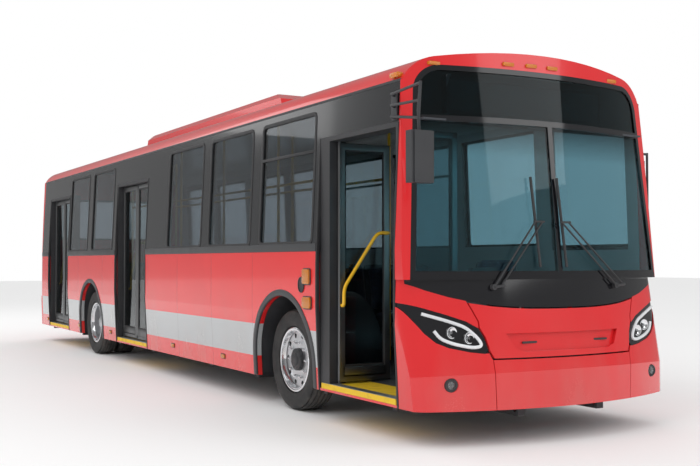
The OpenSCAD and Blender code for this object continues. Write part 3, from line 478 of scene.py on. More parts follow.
@dataclass(frozen=True)
class Metal(Finish):
    """Cast or brushed metal with dust and brushed streaks."""

    dust: float = 0.3
    grain: Point = (30.0, 30.0, 2.0)

    def dress(self, graph: Graph) -> None:
        """Lays brushing in the gloss and dull dust patches."""
        brushed = graph.noise(30.0, 4.0, self.grain)
        patch = graph.noise(8.0, 5.0).ramp(0.45, 0.8) * self.dust
        graph.set("Metallic", 1.0 - patch * 0.8)
        graph.set("Base Color", graph.mix(patch, self.colour, (0.2, 0.18, 0.16)))
        graph.set("Roughness", brushed * 0.18 + patch * 0.3 + (self.roughness - 0.09))
        graph.bump(brushed, 0.0002, 0.4)


@dataclass(frozen=True)
class Glazing(Finish):
    """Tinted window glass with faint wiped dirt; on the windscreen the tint also carries painted sky
    reflection.
    """

    clarity: float = 1.0
    shade_band: float = 0.0

    def dress(self, graph: Graph) -> None:
        """Lays the tint, a darker band at the top if any, and dirt in the gloss."""
        z = graph.xyz()[2]
        dirt = graph.noise(3.0, 6.0, (1, 1, 0.4)).ramp(0.5, 0.9)
        colour = graph.mix(dirt * 0.25, self.colour, tuple(part * 0.8 for part in self.colour))
        if self.shade_band > 0:
            dark = tuple(part * 0.25 for part in self.colour)
            colour = graph.mix(z.ramp(self.shade_band, self.shade_band + 0.25), colour, dark)
        graph.set("Base Color", colour)
        graph.set("Roughness", dirt * 0.05 + self.roughness)
        graph.set("Transmission Weight", self.clarity)
        graph.set("IOR", 1.33)


@dataclass(frozen=True)
class Lens(Finish):
    """Moulded lamp lens with fine prisms and painted shade in their troughs."""

    clarity: float = 0.35
    pitch: float = 0.007

    def dress(self, graph: Graph) -> None:
        """Lays upright and level prism ribs, with painted shade where they dip."""
        x, y, z = graph.xyz()
        count = 2 * math.pi / self.pitch
        ribs = ((x + y) * count).sine() * 0.5 + (z * count).sine() * 0.5
        # painted shade: the colour is darker where the ribs dip, as if shade lay in the prisms' troughs
        trough_shade = tuple(part * 0.75 for part in self.colour)
        graph.set("Base Color", graph.mix(ribs.ramp(-0.6, 0.6), trough_shade, self.colour))
        graph.set("Roughness", graph.noise(50.0) * 0.06 + self.roughness)
        graph.set("Transmission Weight", self.clarity)
        graph.set("Coat Weight", 0.6)
        graph.bump(ribs, 0.0008, 0.7)


@dataclass(frozen=True)
class Cloth(Finish):
    """Woven seat cloth with small two-tone flecks."""

    fleck: Colour = (0.05, 0.16, 0.3)

    def dress(self, graph: Graph) -> None:
        """Lays threads as two crossed waves, flecks and a soft sheen."""
        x, y, z = graph.xyz()
        weave = ((x + z) * 2600.0).sine() * ((y + z) * 2600.0).sine()
        cells = {"Vector": graph.place(), "Scale": 46.0}
        flecks = graph.node("ShaderNodeTexVoronoi", {}, cells) < 0.28
        worn = graph.noise(7.0, 4.0).ramp(0.3, 0.8)
        colour = graph.mix(flecks * 0.7, self.colour, self.fleck)
        colour = graph.mix(worn * 0.25, colour, tuple(part + 0.05 for part in self.colour))
        graph.set("Base Color", colour)
        graph.set("Roughness", worn * 0.1 + self.roughness)
        graph.set("Sheen Weight", 0.3)
        graph.bump(weave, 0.0006, 0.7)


@dataclass(frozen=True)
class Flooring(Finish):
    """Studded floor covering, yellow at the doorways and dark between them."""

    yellow: Colour = (0.82, 0.52, 0.012)
    edge_x: float = -0.86
    doorways: Tuple[Tuple[float, float], ...] = ()

    def dress(self, graph: Graph) -> None:
        """Lays studs, the doorways' colour and trodden dirt."""
        x, y, _ = graph.xyz()
        doorway = None
        for low, high in self.doorways:
            here = y.within(low, high)
            doorway = here if doorway is None else doorway + here
        doorway = doorway * (x < self.edge_x)
        studs = ((x * 180.0).sine() * (y * 180.0).sine()).ramp(0.35, 0.6)
        dirt = graph.noise(11.0, 5.0).ramp(0.5, 0.8)
        colour = graph.mix(doorway, self.colour, self.yellow)
        colour = graph.mix(dirt * 0.35, colour, (0.12, 0.1, 0.08))
        graph.set("Base Color", colour)
        graph.set("Roughness", dirt * 0.2 + self.roughness)
        graph.bump(studs, 0.0015, 0.6)


@dataclass(frozen=True)
class DotPanel(Finish):
    """Unlit destination display: rows of small round lamps in a dark sheet."""

    pitch: float = 0.012

    def dress(self, graph: Graph) -> None:
        """Lays the grid of dots."""
        x, _, z = graph.xyz()
        turn = 2 * math.pi / self.pitch
        dots = ((x * turn).sine() * (z * turn).sine()).ramp(0.3, 0.7)
        graph.set("Base Color", graph.mix(dots, self.colour, tuple(part * 1.5 for part in self.colour)))
        graph.set("Roughness", dots * -0.15 + self.roughness)
        graph.bump(dots, 0.001, 0.5)


RED = Paint("gloss_red_paint", (0.72, 0.016, 0.020), 0.2, dust=0.18)
PANEL_JOINTS = (-3.02, -1.95, -0.9, 0.18, 1.72, 2.2, 3.52, 5.62)
SIDE_RED = Paint(
    "side_red_paint", (0.78, 0.020, 0.022), 0.2, stripe=True, joints=PANEL_JOINTS, dust=0.25, lined=True
)
ROOF_RED = Paint("roof_red_paint", (0.74, 0.024, 0.026), 0.26, dust=0.0, ceiling=True)
BAND = Paint("window_band_black", (0.012, 0.013, 0.015), 0.14, dust=0.0, lined=True)
PIANO = Paint("gloss_black_panel", (0.008, 0.008, 0.010), 0.07, dust=0.0)
DARK_TRIM = Grained("dark_trim", (0.03, 0.03, 0.033), 0.42)
RUBBER = Grained("seal_rubber", (0.022, 0.022, 0.024), 0.5, grain=900.0, depth=0.0003)
ARCH_RUBBER = Grained("arch_rubber", (0.05, 0.052, 0.056), 0.42, grain=700.0, depth=0.0003)
HOUSING = Grained("moulded_plastic", (0.035, 0.036, 0.040), 0.38, grain=650.0)
CABIN = Grained("cabin_plastic", (0.05, 0.055, 0.065), 0.55)
ALLOY = Metal("wheel_metal", (0.66, 0.67, 0.69), 0.36)
CHROME = Metal("bright_metal", (0.85, 0.86, 0.88), 0.12, dust=0.1)
ALUMINIUM = Metal("door_aluminium", (0.20, 0.205, 0.21), 0.40, dust=0.2)
SILL_METAL = Metal("sill_aluminium", (0.62, 0.63, 0.64), 0.38, dust=0.3)
STEEL = Finish("chassis_steel", (0.035, 0.035, 0.038), 0.6)
# the windscreen's teal is partly the glass's own tint and partly painted reflection of a blue sky
SCREEN = Glazing("windscreen_glass", (0.30, 0.60, 0.68), 0.02, shade_band=2.18)
TINTED = Glazing("side_tinted_glass", (0.30, 0.34, 0.37), 0.025)
DOOR_GLASS = Glazing("door_glass", (0.30, 0.36, 0.38), 0.025)
AMBER = Lens("amber_lens", (0.95, 0.30, 0.012), 0.14)
RED_LENS = Lens("red_lens", (0.55, 0.008, 0.010), 0.14)
CLEAR_LENS = Lens("clear_lens", (0.9, 0.92, 0.94), 0.05, clarity=0.9)
GUIDE = Finish("light_guide", (0.78, 0.80, 0.82), 0.18)
YELLOW = Paint("yellow_rail_paint", (0.90, 0.50, 0.008), 0.28, dust=0.0)
SEAT_CLOTH = Cloth("seat_cloth", (0.012, 0.022, 0.05), 0.85)
DISPLAY = DotPanel("sign_display", (0.06, 0.09, 0.11), 0.4)
PLATE = Finish("blank_plate", (0.7, 0.7, 0.68), 0.4)


# ---------------------------------------------------------------- modelling


def clear_selection() -> None:
    """Leaves edit mode and deselects everything."""
    if bpy.context.mode != "OBJECT":
        bpy.ops.object.mode_set(mode="OBJECT")
    bpy.ops.object.select_all(action="DESELECT")


def activate(piece: bpy.types.Object) -> bpy.types.Object:
    """Makes a piece the only selected and active object, and returns it."""
    clear_selection()
    piece.select_set(True)
    bpy.context.view_layer.objects.active = piece
    return piece


@contextmanager
def editing(piece: bpy.types.Object, mode: str = "FACE") -> Iterator[None]:
    """Opens a piece in edit mode for the operators inside the block.

    Args:
        piece: The mesh to edit.
        mode: VERT, EDGE or FACE.
    """
    activate(piece)
    bpy.ops.object.mode_set(mode="EDIT")
    bpy.ops.mesh.select_mode(type=mode)
    try:
        yield
    finally:
        bpy.ops.object.mode_set(mode="OBJECT")


def pick_faces(piece: bpy.types.Object, test: Callable[[Vector, Vector], bool]) -> None:
    """Selects the faces whose centre and normal pass a test, and only those."""
    mesh = piece.data
    for part in (*mesh.vertices, *mesh.edges):
        part.select = False
    for face in mesh.polygons:
        face.select = test(face.center, face.normal)


def pick_edges(piece: bpy.types.Object, test: Callable[[Vector, Vector], bool]) -> None:
    """Selects the edges whose two ends pass a test, and only those."""
    mesh = piece.data
    for part in (*mesh.polygons, *mesh.vertices):
        part.select = False
    for edge in mesh.edges:
        ends = [mesh.vertices[index].co for index in edge.vertices]
        edge.select = test(ends[0], ends[1])


def face_outwards(piece: bpy.types.Object, merge: bool = False) -> bpy.types.Object:
    """Recalculates a piece's normals, after its doubles are merged if asked."""
    with editing(piece, "VERT" if merge else "FACE"):
        bpy.ops.mesh.select_all(action="SELECT")
        if merge:
            bpy.ops.mesh.remove_doubles(threshold=MERGE)
        bpy.ops.mesh.normals_make_consistent(inside=False)
    return piece


def apply_modifier(piece: bpy.types.Object, kind: str, **settings: object) -> bpy.types.Object:
    """Adds a modifier, sets it and applies it.

    Args:
        piece: The mesh.
        kind: The modifier's type.
        **settings: Its attributes.

    Returns:
        The same piece.
    """
    activate(piece)
    modifier = piece.modifiers.new(kind.title(), kind)
    for key, value in settings.items():
        setattr(modifier, key, value)
    bpy.ops.object.modifier_apply(modifier=modifier.name)
    return piece


def soften(piece: bpy.types.Object, width: float, angle: float, segments: int = 2) -> bpy.types.Object:
    """Bevels the edges that are sharper than an angle in degrees, unless the width is 0."""
    if width > 0:
        settings = {"segments": segments, "limit_method": "ANGLE", "angle_limit": math.radians(angle)}
        apply_modifier(piece, "BEVEL", width=width, **settings)
    return piece


def settle(piece: bpy.types.Object, name: str = "") -> bpy.types.Object:
    """Bakes a piece's place, turn and scale into its mesh, and names it."""
    activate(piece)
    bpy.ops.object.transform_apply(location=True, rotation=True, scale=True)
    if name:
        piece.name = name
        piece.data.name = name
    return piece


def slab(
    low: Point, high: Point, round_axis: Axis = Axis.X, corner: float = 0.0, soft: float = 0.002
) -> bpy.types.Object:
    """A block with round corners along one axis and softened edges all over.

    Args:
        low: Lowest corner.
        high: Highest corner.
        round_axis: Axis along which the large corner rounding runs.
        corner: Radius of that rounding.
        soft: Width of the small bevel on every edge.

    Returns:
        The block, settled.
    """
    clear_selection()
    centre = [(a + b) / 2 for a, b in zip(low, high)]
    bpy.ops.mesh.primitive_cube_add(size=1, location=centre)
    piece = bpy.context.object
    piece.scale = [b - a for a, b in zip(low, high)]
    settle(piece)
    if corner > 0:
        index = round_axis.value
        pick_edges(piece, lambda a, b: abs(a[index] - b[index]) > 1e-6)
        with editing(piece, "EDGE"):
            bpy.ops.mesh.bevel(offset=corner, offset_type="OFFSET", segments=5, affect="EDGES")
    return soften(piece, soft, 50)


def ring(
    low: Point, high: Point, axis: Axis, corner: float, rim: float, soft: float = 0.0015
) -> bpy.types.Object:
    """A flat frame with round corners, open along one axis.

    Args:
        low: Lowest corner.
        high: Highest corner.
        axis: Axis along which it is open.
        corner: Radius of the outer corners.
        rim: Width of the frame.
        soft: Width of the small bevel on every edge.

    Returns:
        The frame.
    """
    piece = slab(low, high, axis, corner, 0.0)
    index = axis.value
    pick_faces(piece, lambda centre, normal: abs(normal[index]) > 0.99)
    with editing(piece):
        bpy.ops.mesh.inset(thickness=rim, depth=0.0)
        bpy.ops.mesh.bridge_edge_loops()
    return soften(piece, soft, 40)


def disc(
    centre: Point, radius: float, depth: float, axis: Axis, sides: int = 32, soft: float = 0.002
) -> bpy.types.Object:
    """A round block with softened rims.

    Args:
        centre: Its centre.
        radius: Its radius.
        depth: Its length along the axis.
        axis: Its axis.
        sides: Sides of the circle.
        soft: Width of the rim's bevel.

    Returns:
        The block.
    """
    clear_selection()
    turns = {Axis.X: (0, math.pi / 2, 0), Axis.Y: (math.pi / 2, 0, 0), Axis.Z: (0, 0, 0)}
    bpy.ops.mesh.primitive_cylinder_add(
        vertices=sides, radius=radius, depth=depth, location=centre, rotation=turns[axis]
    )
    piece = settle(bpy.context.object)
    return soften(piece, soft, 60)


def lathe(
    outline: Sequence[Tuple[float, float]], centre: Point, axis: Axis, steps: int = 72
) -> bpy.types.Object:
    """A solid of revolution, spun from a closed outline.

    Args:
        outline: Closed outline as radius and place along the axis.
        centre: Where the axis' zero is.
        axis: X or Y.
        steps: Steps round the axis.

    Returns:
        The solid, its faces outwards.
    """
    clear_selection()
    bpy.ops.mesh.primitive_circle_add(vertices=len(outline), radius=1, fill_type="NOTHING")
    piece = bpy.context.object
    middle = Vector(centre)
    for vertex, (radius, along) in zip(piece.data.vertices, outline):
        offset = (along, 0.0, radius) if axis is Axis.X else (0.0, along, radius)
        vertex.co = middle + Vector(offset)
    spin_axis = (1, 0, 0) if axis is Axis.X else (0, 1, 0)
    with editing(piece, "VERT"):
        bpy.ops.mesh.select_all(action="SELECT")
        bpy.ops.mesh.spin(steps=steps, angle=2 * math.pi, center=centre, axis=spin_axis)
    return face_outwards(piece, merge=True)


def tube(points: Sequence[Point], radius: float, sides: int = 3, smooth: float = 0.0) -> bpy.types.Object:
    """A round bar along points, its corners rounded.

    Args:
        points: The bar's middle line.
        radius: Its radius.
        sides: Bevel resolution of the section.
        smooth: Radius to which inner corners are rounded.

    Returns:
        The bar as a mesh.
    """
    clear_selection()
    path = round_path([Vector(point) for point in points], smooth)
    bpy.ops.curve.primitive_bezier_curve_add()
    curve = bpy.context.object
    curve.data.splines.clear()
    spline = curve.data.splines.new("POLY")
    spline.points.add(len(path) - 1)
    for knot, place in zip(spline.points, path):
        knot.co = (*place, 1.0)
    curve.data.dimensions = "3D"
    curve.data.bevel_depth = radius
    curve.data.bevel_resolution = sides
    curve.data.use_fill_caps = True
    bpy.ops.object.convert(target="MESH")
    return face_outwards(bpy.context.object, merge=True)


def round_path(points: List[Vector], radius: float, steps: int = 5) -> List[Vector]:
    """Replaces each inner corner of a path by a short quadratic curve.

    Args:
        points: The path.
        radius: How far from the corner the curve starts.
        steps: Pieces in each curve.

    Returns:
        The rounded path.
    """
    if radius <= 0 or len(points) < 3:
        return points
    path = [points[0]]
    for before, corner, after in zip(points, points[1:], points[2:]):
        into = (before - corner).normalized() * min(radius, (before - corner).length * 0.45)
        away = (after - corner).normalized() * min(radius, (after - corner).length * 0.45)
        for step in range(steps + 1):
            part = step / steps
            path.append(corner + into * (1 - part) ** 2 + away * part ** 2)
    return path + [points[-1]]


def copies(piece: bpy.types.Object, offsets: Sequence[Point]) -> List[bpy.types.Object]:
    """Copies a piece, each copy with its own mesh, moved by each offset.

    Args:
        piece: The piece, which isn't among the copies.
        offsets: One offset for each copy.

    Returns:
        The copies.
    """
    made = []
    for offset in offsets:
        activate(piece)
        bpy.ops.object.duplicate(linked=False)
        copy = bpy.context.object
        bpy.ops.transform.translate(value=offset)
        made.append(settle(copy))
    return made


def circle_places(x: float, centre: Point, radius: float, count: int, start: float = 0.0) -> List[Point]:
    """Evenly spaced places on a circle round the X axis.

    Args:
        x: Their place along the axis.
        centre: The circle's centre.
        radius: Its radius.
        count: How many places.
        start: Part of a step by which the first one is turned.

    Returns:
        The places.
    """
    turns = [2 * math.pi * (index + start) / count for index in range(count)]
    return [(x, centre[1] + radius * math.cos(turn), centre[2] + radius * math.sin(turn)) for turn in turns]


def moved(piece: bpy.types.Object, offset: Point) -> bpy.types.Object:
    """Moves a piece by an offset and settles it."""
    activate(piece)
    bpy.ops.transform.translate(value=offset)
    return settle(piece)


def turned(piece: bpy.types.Object, angle: float, axis: Axis, centre: Point) -> bpy.types.Object:
    """Turns a piece about an axis through a point, in the right-handed sense, and settles it."""
    activate(piece)
    spin = Matrix.Rotation(angle, 4, axis.name)
    middle = Matrix.Translation(centre)
    piece.matrix_world = middle @ spin @ middle.inverted() @ piece.matrix_world
    return settle(piece)


def mirrored(piece: bpy.types.Object) -> bpy.types.Object:
    """A copy of a piece on the other side of the centre plane, its faces outwards."""
    activate(piece)
    bpy.ops.object.duplicate(linked=False)
    copy = bpy.context.object
    copy.scale = (-1, 1, 1)
    return face_outwards(settle(copy))


def join(pieces: Sequence[bpy.types.Object], name: str) -> bpy.types.Object:
    """Joins pieces into one mesh of that name."""
    clear_selection()
    for piece in pieces:
        piece.select_set(True)
    bpy.context.view_layer.objects.active = pieces[0]
    if len(pieces) > 1:
        bpy.ops.object.join()
    joined = bpy.context.object
    joined.name = name
    joined.data.name = name
    return joined


def discard(piece: bpy.types.Object) -> None:
    """Removes a pattern piece that only served for copies."""
    bpy.data.objects.remove(piece, do_unlink=True)


def mount(
    pieces: Sequence[bpy.types.Object],
    name: str,
    finish: Finish,
    body: str = "body",
    angle: float = 35.0,
) -> bpy.types.Object:
    """Joins pieces, gives them their finish and hangs them on a body.

    Args:
        pieces: Pieces of one finish.
        name: Name of the joined piece.
        finish: Its finish.
        body: The body that it rides on.
        angle: Edges sharper than this stay sharp, in degrees.

    Returns:
        The joined piece.
    """
    piece = settle(join(pieces, name), name)
    bpy.ops.object.shade_smooth_by_angle(angle=math.radians(angle))
    finish.cover(piece)
    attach(piece, body)
    LOG.info("%s: %d faces on %s", name, len(piece.data.polygons), body)
    return piece


def follow_side(piece: bpy.types.Object) -> bpy.types.Object:
    """Moves a piece that was made at the widest plane in to the body's side at each height."""
    for vertex in piece.data.vertices:
        vertex.co.x -= math.copysign(BODY.inset(vertex.co.z), vertex.co.x)
    return piece


def subdivide_long(piece: bpy.types.Object, cuts: int) -> bpy.types.Object:
    """Cuts a piece's long edges, so that it can follow a curve."""
    pick_faces(piece, lambda centre, normal: True)
    with editing(piece):
        bpy.ops.mesh.subdivide(number_cuts=cuts)
    return piece


def cad_copy(node: str) -> bpy.types.Object:
    """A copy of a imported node's mesh with its doubles merged."""
    activate(bpy.data.objects[node])
    bpy.ops.object.duplicate(linked=False)
    copy = bpy.context.object
    for key in list(copy.keys()):
        del copy[key]
    copy.parent = None
    with editing(copy, "VERT"):
        bpy.ops.mesh.select_all(action="SELECT")
        bpy.ops.mesh.remove_doubles(threshold=MERGE)
    return copy


def island_boxes(node: str) -> List[Tuple[Vector, Vector]]:
    """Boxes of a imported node's separate solids, ordered by X and then Y.

    Args:
        node: The node's name.

    Returns:
        Lowest and highest corner of each solid.
    """
    copy = cad_copy(node)
    activate(copy)
    with editing(copy):
        bpy.ops.mesh.select_all(action="SELECT")
        bpy.ops.mesh.separate(type="LOOSE")
    parts = [piece for piece in bpy.context.selected_objects if piece.type == "MESH"]
    boxes = []
    for part in parts:
        places = [vertex.co for vertex in part.data.vertices]
        low = Vector([min(place[i] for place in places) for i in range(3)])
        high = Vector([max(place[i] for place in places) for i in range(3)])
        boxes.append((low, high))
    for part in parts:
        bpy.data.objects.remove(part, do_unlink=True)
    return sorted(boxes, key=lambda pair: (round(pair[0].x, 2), pair[0].y))


# ---------------------------------------------------------------- sub-assemblies


@dataclass
class Coachwork:
    """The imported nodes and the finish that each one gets."""

    doorway_margin: float = 0.04

    def finishes(self) -> Dict[str, Finish]:
        """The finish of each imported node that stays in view."""
        table: Dict[str, Finish] = {
            "floor": self.flooring(),
            "roof": ROOF_RED,
            "roof_pod": RED,
            "front_glass": SCREEN,
            "side_glass": TINTED,
            "rear_window": TINTED,
            "screen_frame": PIANO,
            "wheel_housings": HOUSING,
            "mirrors": HOUSING,
            "dashboard": CABIN,
            "steering_wheel": CABIN,
            "door_frames": DARK_TRIM,
            "wipers": DARK_TRIM,
            "handrails": YELLOW,
            "rear_lamps": DARK_TRIM,
            "front_lamps": PIANO,
        }
        for name in ("side_panels_right", "side_panels_left"):
            table[name] = SIDE_RED
        for name in ("window_band_right", "window_band_left"):
            table[name] = BAND
        for name in ("front_mask", "front_lid", "front_bumper", "rear_wall", "rear_bumper", "engine_lid"):
            table[name] = RED
        return table

    def flooring(self) -> Flooring:
        """Floor covering with the doorways at their real places."""
        margin = self.doorway_margin
        spans = [(low - margin, high + margin) for low, high in self.doorways()]
        return Flooring("studded_floor", (0.055, 0.057, 0.06), 0.55, doorways=tuple(spans))

    @staticmethod
    def doorways() -> List[Tuple[float, float]]:
        """Front and rear edge of each doorway from the front, from the door frames' solids."""
        return sorted((low.y, high.y) for low, high in island_boxes("door_frames"))

    def dress(self, nodes: Dict[str, bpy.types.Object]) -> None:
        """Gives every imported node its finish, plain metal where none is named."""
        table = self.finishes()
        for name, node in nodes.items():
            if "rim" in name:
                ALLOY.cover(node)
            elif name in table:
                table[name].cover(node)
            else:
                STEEL.cover(node)


@dataclass
class SideTrim:
    """Window seals, mouldings, arch rubbers and small lamps on both sides."""

    seal_rim: float = 0.034
    seal_over: float = 0.012
    seal_proud: float = 0.004
    arch_r: float = 0.592
    arch_t: float = 0.060
    wheel_z: float = 0.465
    belt: Tuple[float, float] = (1.462, 1.53)
    gutter: Tuple[float, float] = (2.742, 2.762)
    marker: Point = (0.012, 0.10, 0.042)
    marker_ys: Tuple[float, ...] = (-2.23, -0.70, 1.86, 3.53, 5.59)
    marker_z: float = 0.385
    turn_lamps: Tuple = (((0.165, 1.24), (0.065, 0.066)), ((0.155, 1.012), (0.075, 0.05)))

    def seals(self) -> None:
        """Rubber with round corners round every side pane, and a level bar in two of them."""
        frames = []
        bars = []
        for low, high in island_boxes("side_glass"):
            sign = 1 if low.x > 0 else -1
            over = self.seal_over
            outer = sorted((sign * (BODY.half_w + self.seal_proud), sign * (BODY.half_w - 0.02)))
            frame = ring(
                (outer[0], low.y - over, low.z - over),
                (outer[1], high.y + over, high.z + over),
                Axis.X, 0.07, self.seal_rim,
            )
            subdivide_long(frame, 1)
            frames.append(follow_side(frame))
            if sign < 0 and low.y < -4.2 or sign > 0 and low.y > -4.2 and len(bars) < 3:
                bar_z = 2.34
                bar = slab((outer[0], low.y, bar_z - 0.014), (outer[1], high.y, bar_z + 0.014), soft=0.004)
                bars.append(follow_side(bar))
        mount(frames + bars, "window_seals", RUBBER)

    def runs(self) -> Dict[Side, List[Tuple[float, float]]]:
        """Stretches of each side between its doorways."""
        low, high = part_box("side_panels_left")
        doors = Coachwork.doorways()
        starts = [rear for _, rear in doors]
        ends = [front for front, _ in doors[1:]] + [high.y]
        stretches = list(zip(starts, ends))
        return {Side.DOORS: stretches, Side.DRIVER: [(low.y, high.y)]}

    def mouldings(self) -> None:
        """Belt moulding under the windows and gutter under the roof."""
        belts = []
        gutters = []
        for side, stretches in self.runs().items():
            sign = side.value
            for low, high in stretches:
                xs = sorted((sign * (BODY.half_w + 0.006), sign * (BODY.half_w - 0.01)))
                belts.append(slab((xs[0], low, self.belt[0]), (xs[1], high, self.belt[1]), Axis.Y, 0.004))
            low_y, high_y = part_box("roof")[0].y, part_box("roof")[1].y
            xs = sorted((sign * (BODY.half_w + 0.006), sign * (BODY.half_w - 0.02)))
            gutter = slab((xs[0], low_y, self.gutter[0]), (xs[1], high_y, self.gutter[1]), Axis.Y, 0.004)
            gutters.append(follow_side(gutter))
        mount(belts + gutters, "belt_and_gutter_mouldings", ARCH_RUBBER)

    def arches(self) -> None:
        """Rubber round each wheel arch: a half ring on two straight legs."""
        trims = []
        for node in ("front_right_tyre", "rear_right_tyres"):
            low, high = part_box(node)
            centre_y = (low.y + high.y) / 2
            clear_selection()
            bpy.ops.mesh.primitive_circle_add(
                vertices=96, radius=self.arch_r, location=(-1.282, centre_y, self.wheel_z),
                rotation=(0, math.pi / 2, 0),
            )
            trim = settle(bpy.context.object)
            with editing(trim, "VERT"):
                bpy.ops.mesh.select_all(action="DESELECT")
            for vertex in trim.data.vertices:
                vertex.select = vertex.co.z < self.wheel_z - 1e-4
            with editing(trim, "VERT"):
                bpy.ops.mesh.delete(type="VERT")
            ends = self.wheel_z + 1e-3
            for vertex in trim.data.vertices:
                vertex.select = vertex.co.z < ends
            with editing(trim, "VERT"):
                drop = BODY.skirt_z - self.wheel_z
                for _step in range(3):
                    bpy.ops.mesh.extrude_region_move(TRANSFORM_OT_translate={"value": (0, 0, drop / 3)})
                bpy.ops.mesh.select_all(action="SELECT")
                bpy.ops.mesh.extrude_region_move(TRANSFORM_OT_translate={"value": (-0.026, 0, 0)})
                bpy.ops.mesh.select_all(action="SELECT")
                bpy.ops.mesh.normals_make_consistent(inside=False)
            inward = trim.data.polygons[0]
            from_axle = inward.center - Vector((inward.center.x, centre_y, self.wheel_z))
            offset = 1.0 if inward.normal.dot(from_axle) > 0 else -1.0
            apply_modifier(trim, "SOLIDIFY", thickness=self.arch_t, offset=offset, use_even_offset=True)
            soften(trim, 0.010, 60, 3)
            follow_side(trim)
            trims += [trim, mirrored(trim)]
        mount(trims, "wheel_arch_rubbers", ARCH_RUBBER)

    def lamps(self) -> None:
        """Amber markers along the skirt, turn lamps and oval vent behind the front door."""
        depth, width, height = self.marker
        lenses = []
        bases = []
        outer = BODY.half_w
        for y in self.marker_ys:
            z = self.marker_z
            base = slab((-outer - 0.004, y - width / 2 - 0.006, z - height / 2 - 0.006),
                        (-outer + 0.02, y + width / 2 + 0.006, z + height / 2 + 0.006), Axis.X, 0.006)
            lens = slab((-outer - depth, y - width / 2, z - height / 2),
                        (-outer + 0.01, y + width / 2, z + height / 2), Axis.X, 0.008, 0.003)
            for piece, group in ((base, bases), (lens, lenses)):
                follow_side(piece)
                group += [piece, mirrored(piece)]
        behind = Coachwork.doorways()[0][1]
        for (ahead, z), half in self.turn_lamps:
            y = behind + ahead
            lens = slab((-outer - 0.022, y - half[0], z - half[1]), (-outer + 0.01, y + half[0], z + half[1]),
                        Axis.X, 0.02, 0.005)
            base = slab((-outer - 0.008, y - half[0] - 0.008, z - half[1] - 0.008),
                        (-outer + 0.01, y + half[0] + 0.008, z + half[1] + 0.008), Axis.X, 0.024)
            lenses += [lens, mirrored(lens)]
            bases += [base, mirrored(base)]
        vent = disc((0, 0, 0), 1.0, 0.02, Axis.X, 40, 0.0)
        vent.scale = (1, 0.058, 0.07)
        vent.location = (-outer, behind + 0.272, 1.167)
        settle(vent)
        pick_faces(vent, lambda centre, normal: normal.x < -0.9)
        with editing(vent):
            bpy.ops.mesh.inset(thickness=0.010)
            bpy.ops.mesh.extrude_region_move(TRANSFORM_OT_translate={"value": (0.006, 0, 0)})
        soften(vent, 0.002, 50)
        bases.append(vent)
        mount(bases, "marker_bases", DARK_TRIM)
        mount(lenses, "side_amber_lenses", AMBER)

    def build(self) -> None:
        """Builds all of the sides' trim."""
        self.seals()
        self.mouldings()
        self.arches()
        self.lamps()


@dataclass
class DoorLeaf:
    """One door leaf: metal frame, pane, rubbers and rails, hung on its pivot line."""

    node: str
    body: str
    hinge: Tuple[float, float]
    opened: float
    forward: bool
    stile: float = 0.048
    foot: float = 0.13
    thick: float = 0.034
    behind_pivot: float = 0.0175
    pin_low: float = 0.0147
    pin_high: float = 0.0077
    rail_off: float = 0.036

    def width(self) -> float:
        """Width of the leaf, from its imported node."""
        low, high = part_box(self.node)
        return max(high.x - low.x, high.y - low.y)

    def build(self) -> None:
        """Builds the leaf closed along +Y from its pivot, then turns it to its place."""
        low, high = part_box(self.node)
        bottom, top = low.z + self.pin_low, high.z - self.pin_high
        half = self.thick / 2
        span = (-self.behind_pivot, self.width() - self.behind_pivot)
        frame = ring((-half, span[0], bottom), (half, span[1], top), Axis.X, 0.012, self.stile, 0.002)
        kick = slab((-half, span[0] + self.stile - 0.004, bottom + self.stile - 0.004),
                    (half, span[1] - self.stile + 0.004, bottom + self.foot), soft=0.003)
        pins = [disc((0, 0, low.z + 0.008), 0.012, 0.016, Axis.Z, 20, 0.001),
                disc((0, 0, high.z - 0.005), 0.012, 0.010, Axis.Z, 20, 0.001)]
        inner = (span[0] + self.stile, span[1] - self.stile)
        pane = slab((-0.003, inner[0] - 0.006, bottom + self.foot - 0.006),
                    (0.003, inner[1] + 0.006, top - self.stile + 0.006), soft=0.0)
        seal = ring((-half * 0.7, inner[0] - 0.003, bottom + self.foot - 0.003),
                    (half * 0.7, inner[1] + 0.003, top - self.stile + 0.003), Axis.X, 0.03, 0.022)
        lip_half = half * 0.8
        lip = slab((-lip_half, span[1] - 0.003, bottom), (lip_half, span[1] + 0.0005, top), soft=0.0015)
        groups = [
            (self.node + "_frame", [frame, kick] + pins, ALUMINIUM, "black_paint"),
            (self.node + "_pane", [pane], DOOR_GLASS, "clear_glass"),
            (self.node + "_seals", [seal, lip], RUBBER, "rubber"),
        ]
        groups.append((self.node + "_rail", self.rail(span), YELLOW, "yellow_rail"))
        for name, pieces, finish, slot in groups:
            piece = self.hang(join(pieces, name))
            mount([piece], name, finish, self.body)
            if finish is ALUMINIUM:
                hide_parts(self.node)

    def rail(self, span: Tuple[float, float]) -> List[bpy.types.Object]:
        """A bent handrail on two short feet.

        Args:
            span: The leaf's edges along its width.

        Returns:
            The rail's pieces.
        """
        side = -1 if abs(self.opened) > 0.1 else 1
        off = side * (self.thick / 2 + self.rail_off)
        skin = side * self.thick / 2
        near = span[0] + (0.03 if side < 0 else 0.17)
        far = span[1] - 0.03
        if self.forward and side < 0:
            points = [(skin, near, 1.0), (off, near, 1.0), (off, near, 1.72), (skin, near, 1.72)]
        else:
            points = [(skin, near, 1.0), (off, near, 1.0), (off, near, 1.15), (off, far - 0.12, 1.62),
                      (off, far, 1.62), (skin, far, 1.62)]
        return [tube(points, 0.015, smooth=0.06)]

    def hang(self, piece: bpy.types.Object) -> bpy.types.Object:
        """Turns a leaf piece to its stored place on the pivot line."""
        settle(piece)
        if not self.forward:
            activate(piece)
            piece.scale = (1, -1, 1)
            face_outwards(settle(piece))
        turned(piece, self.opened, Axis.Z, ORIGIN)
        return moved(piece, (*self.hinge, 0.0))


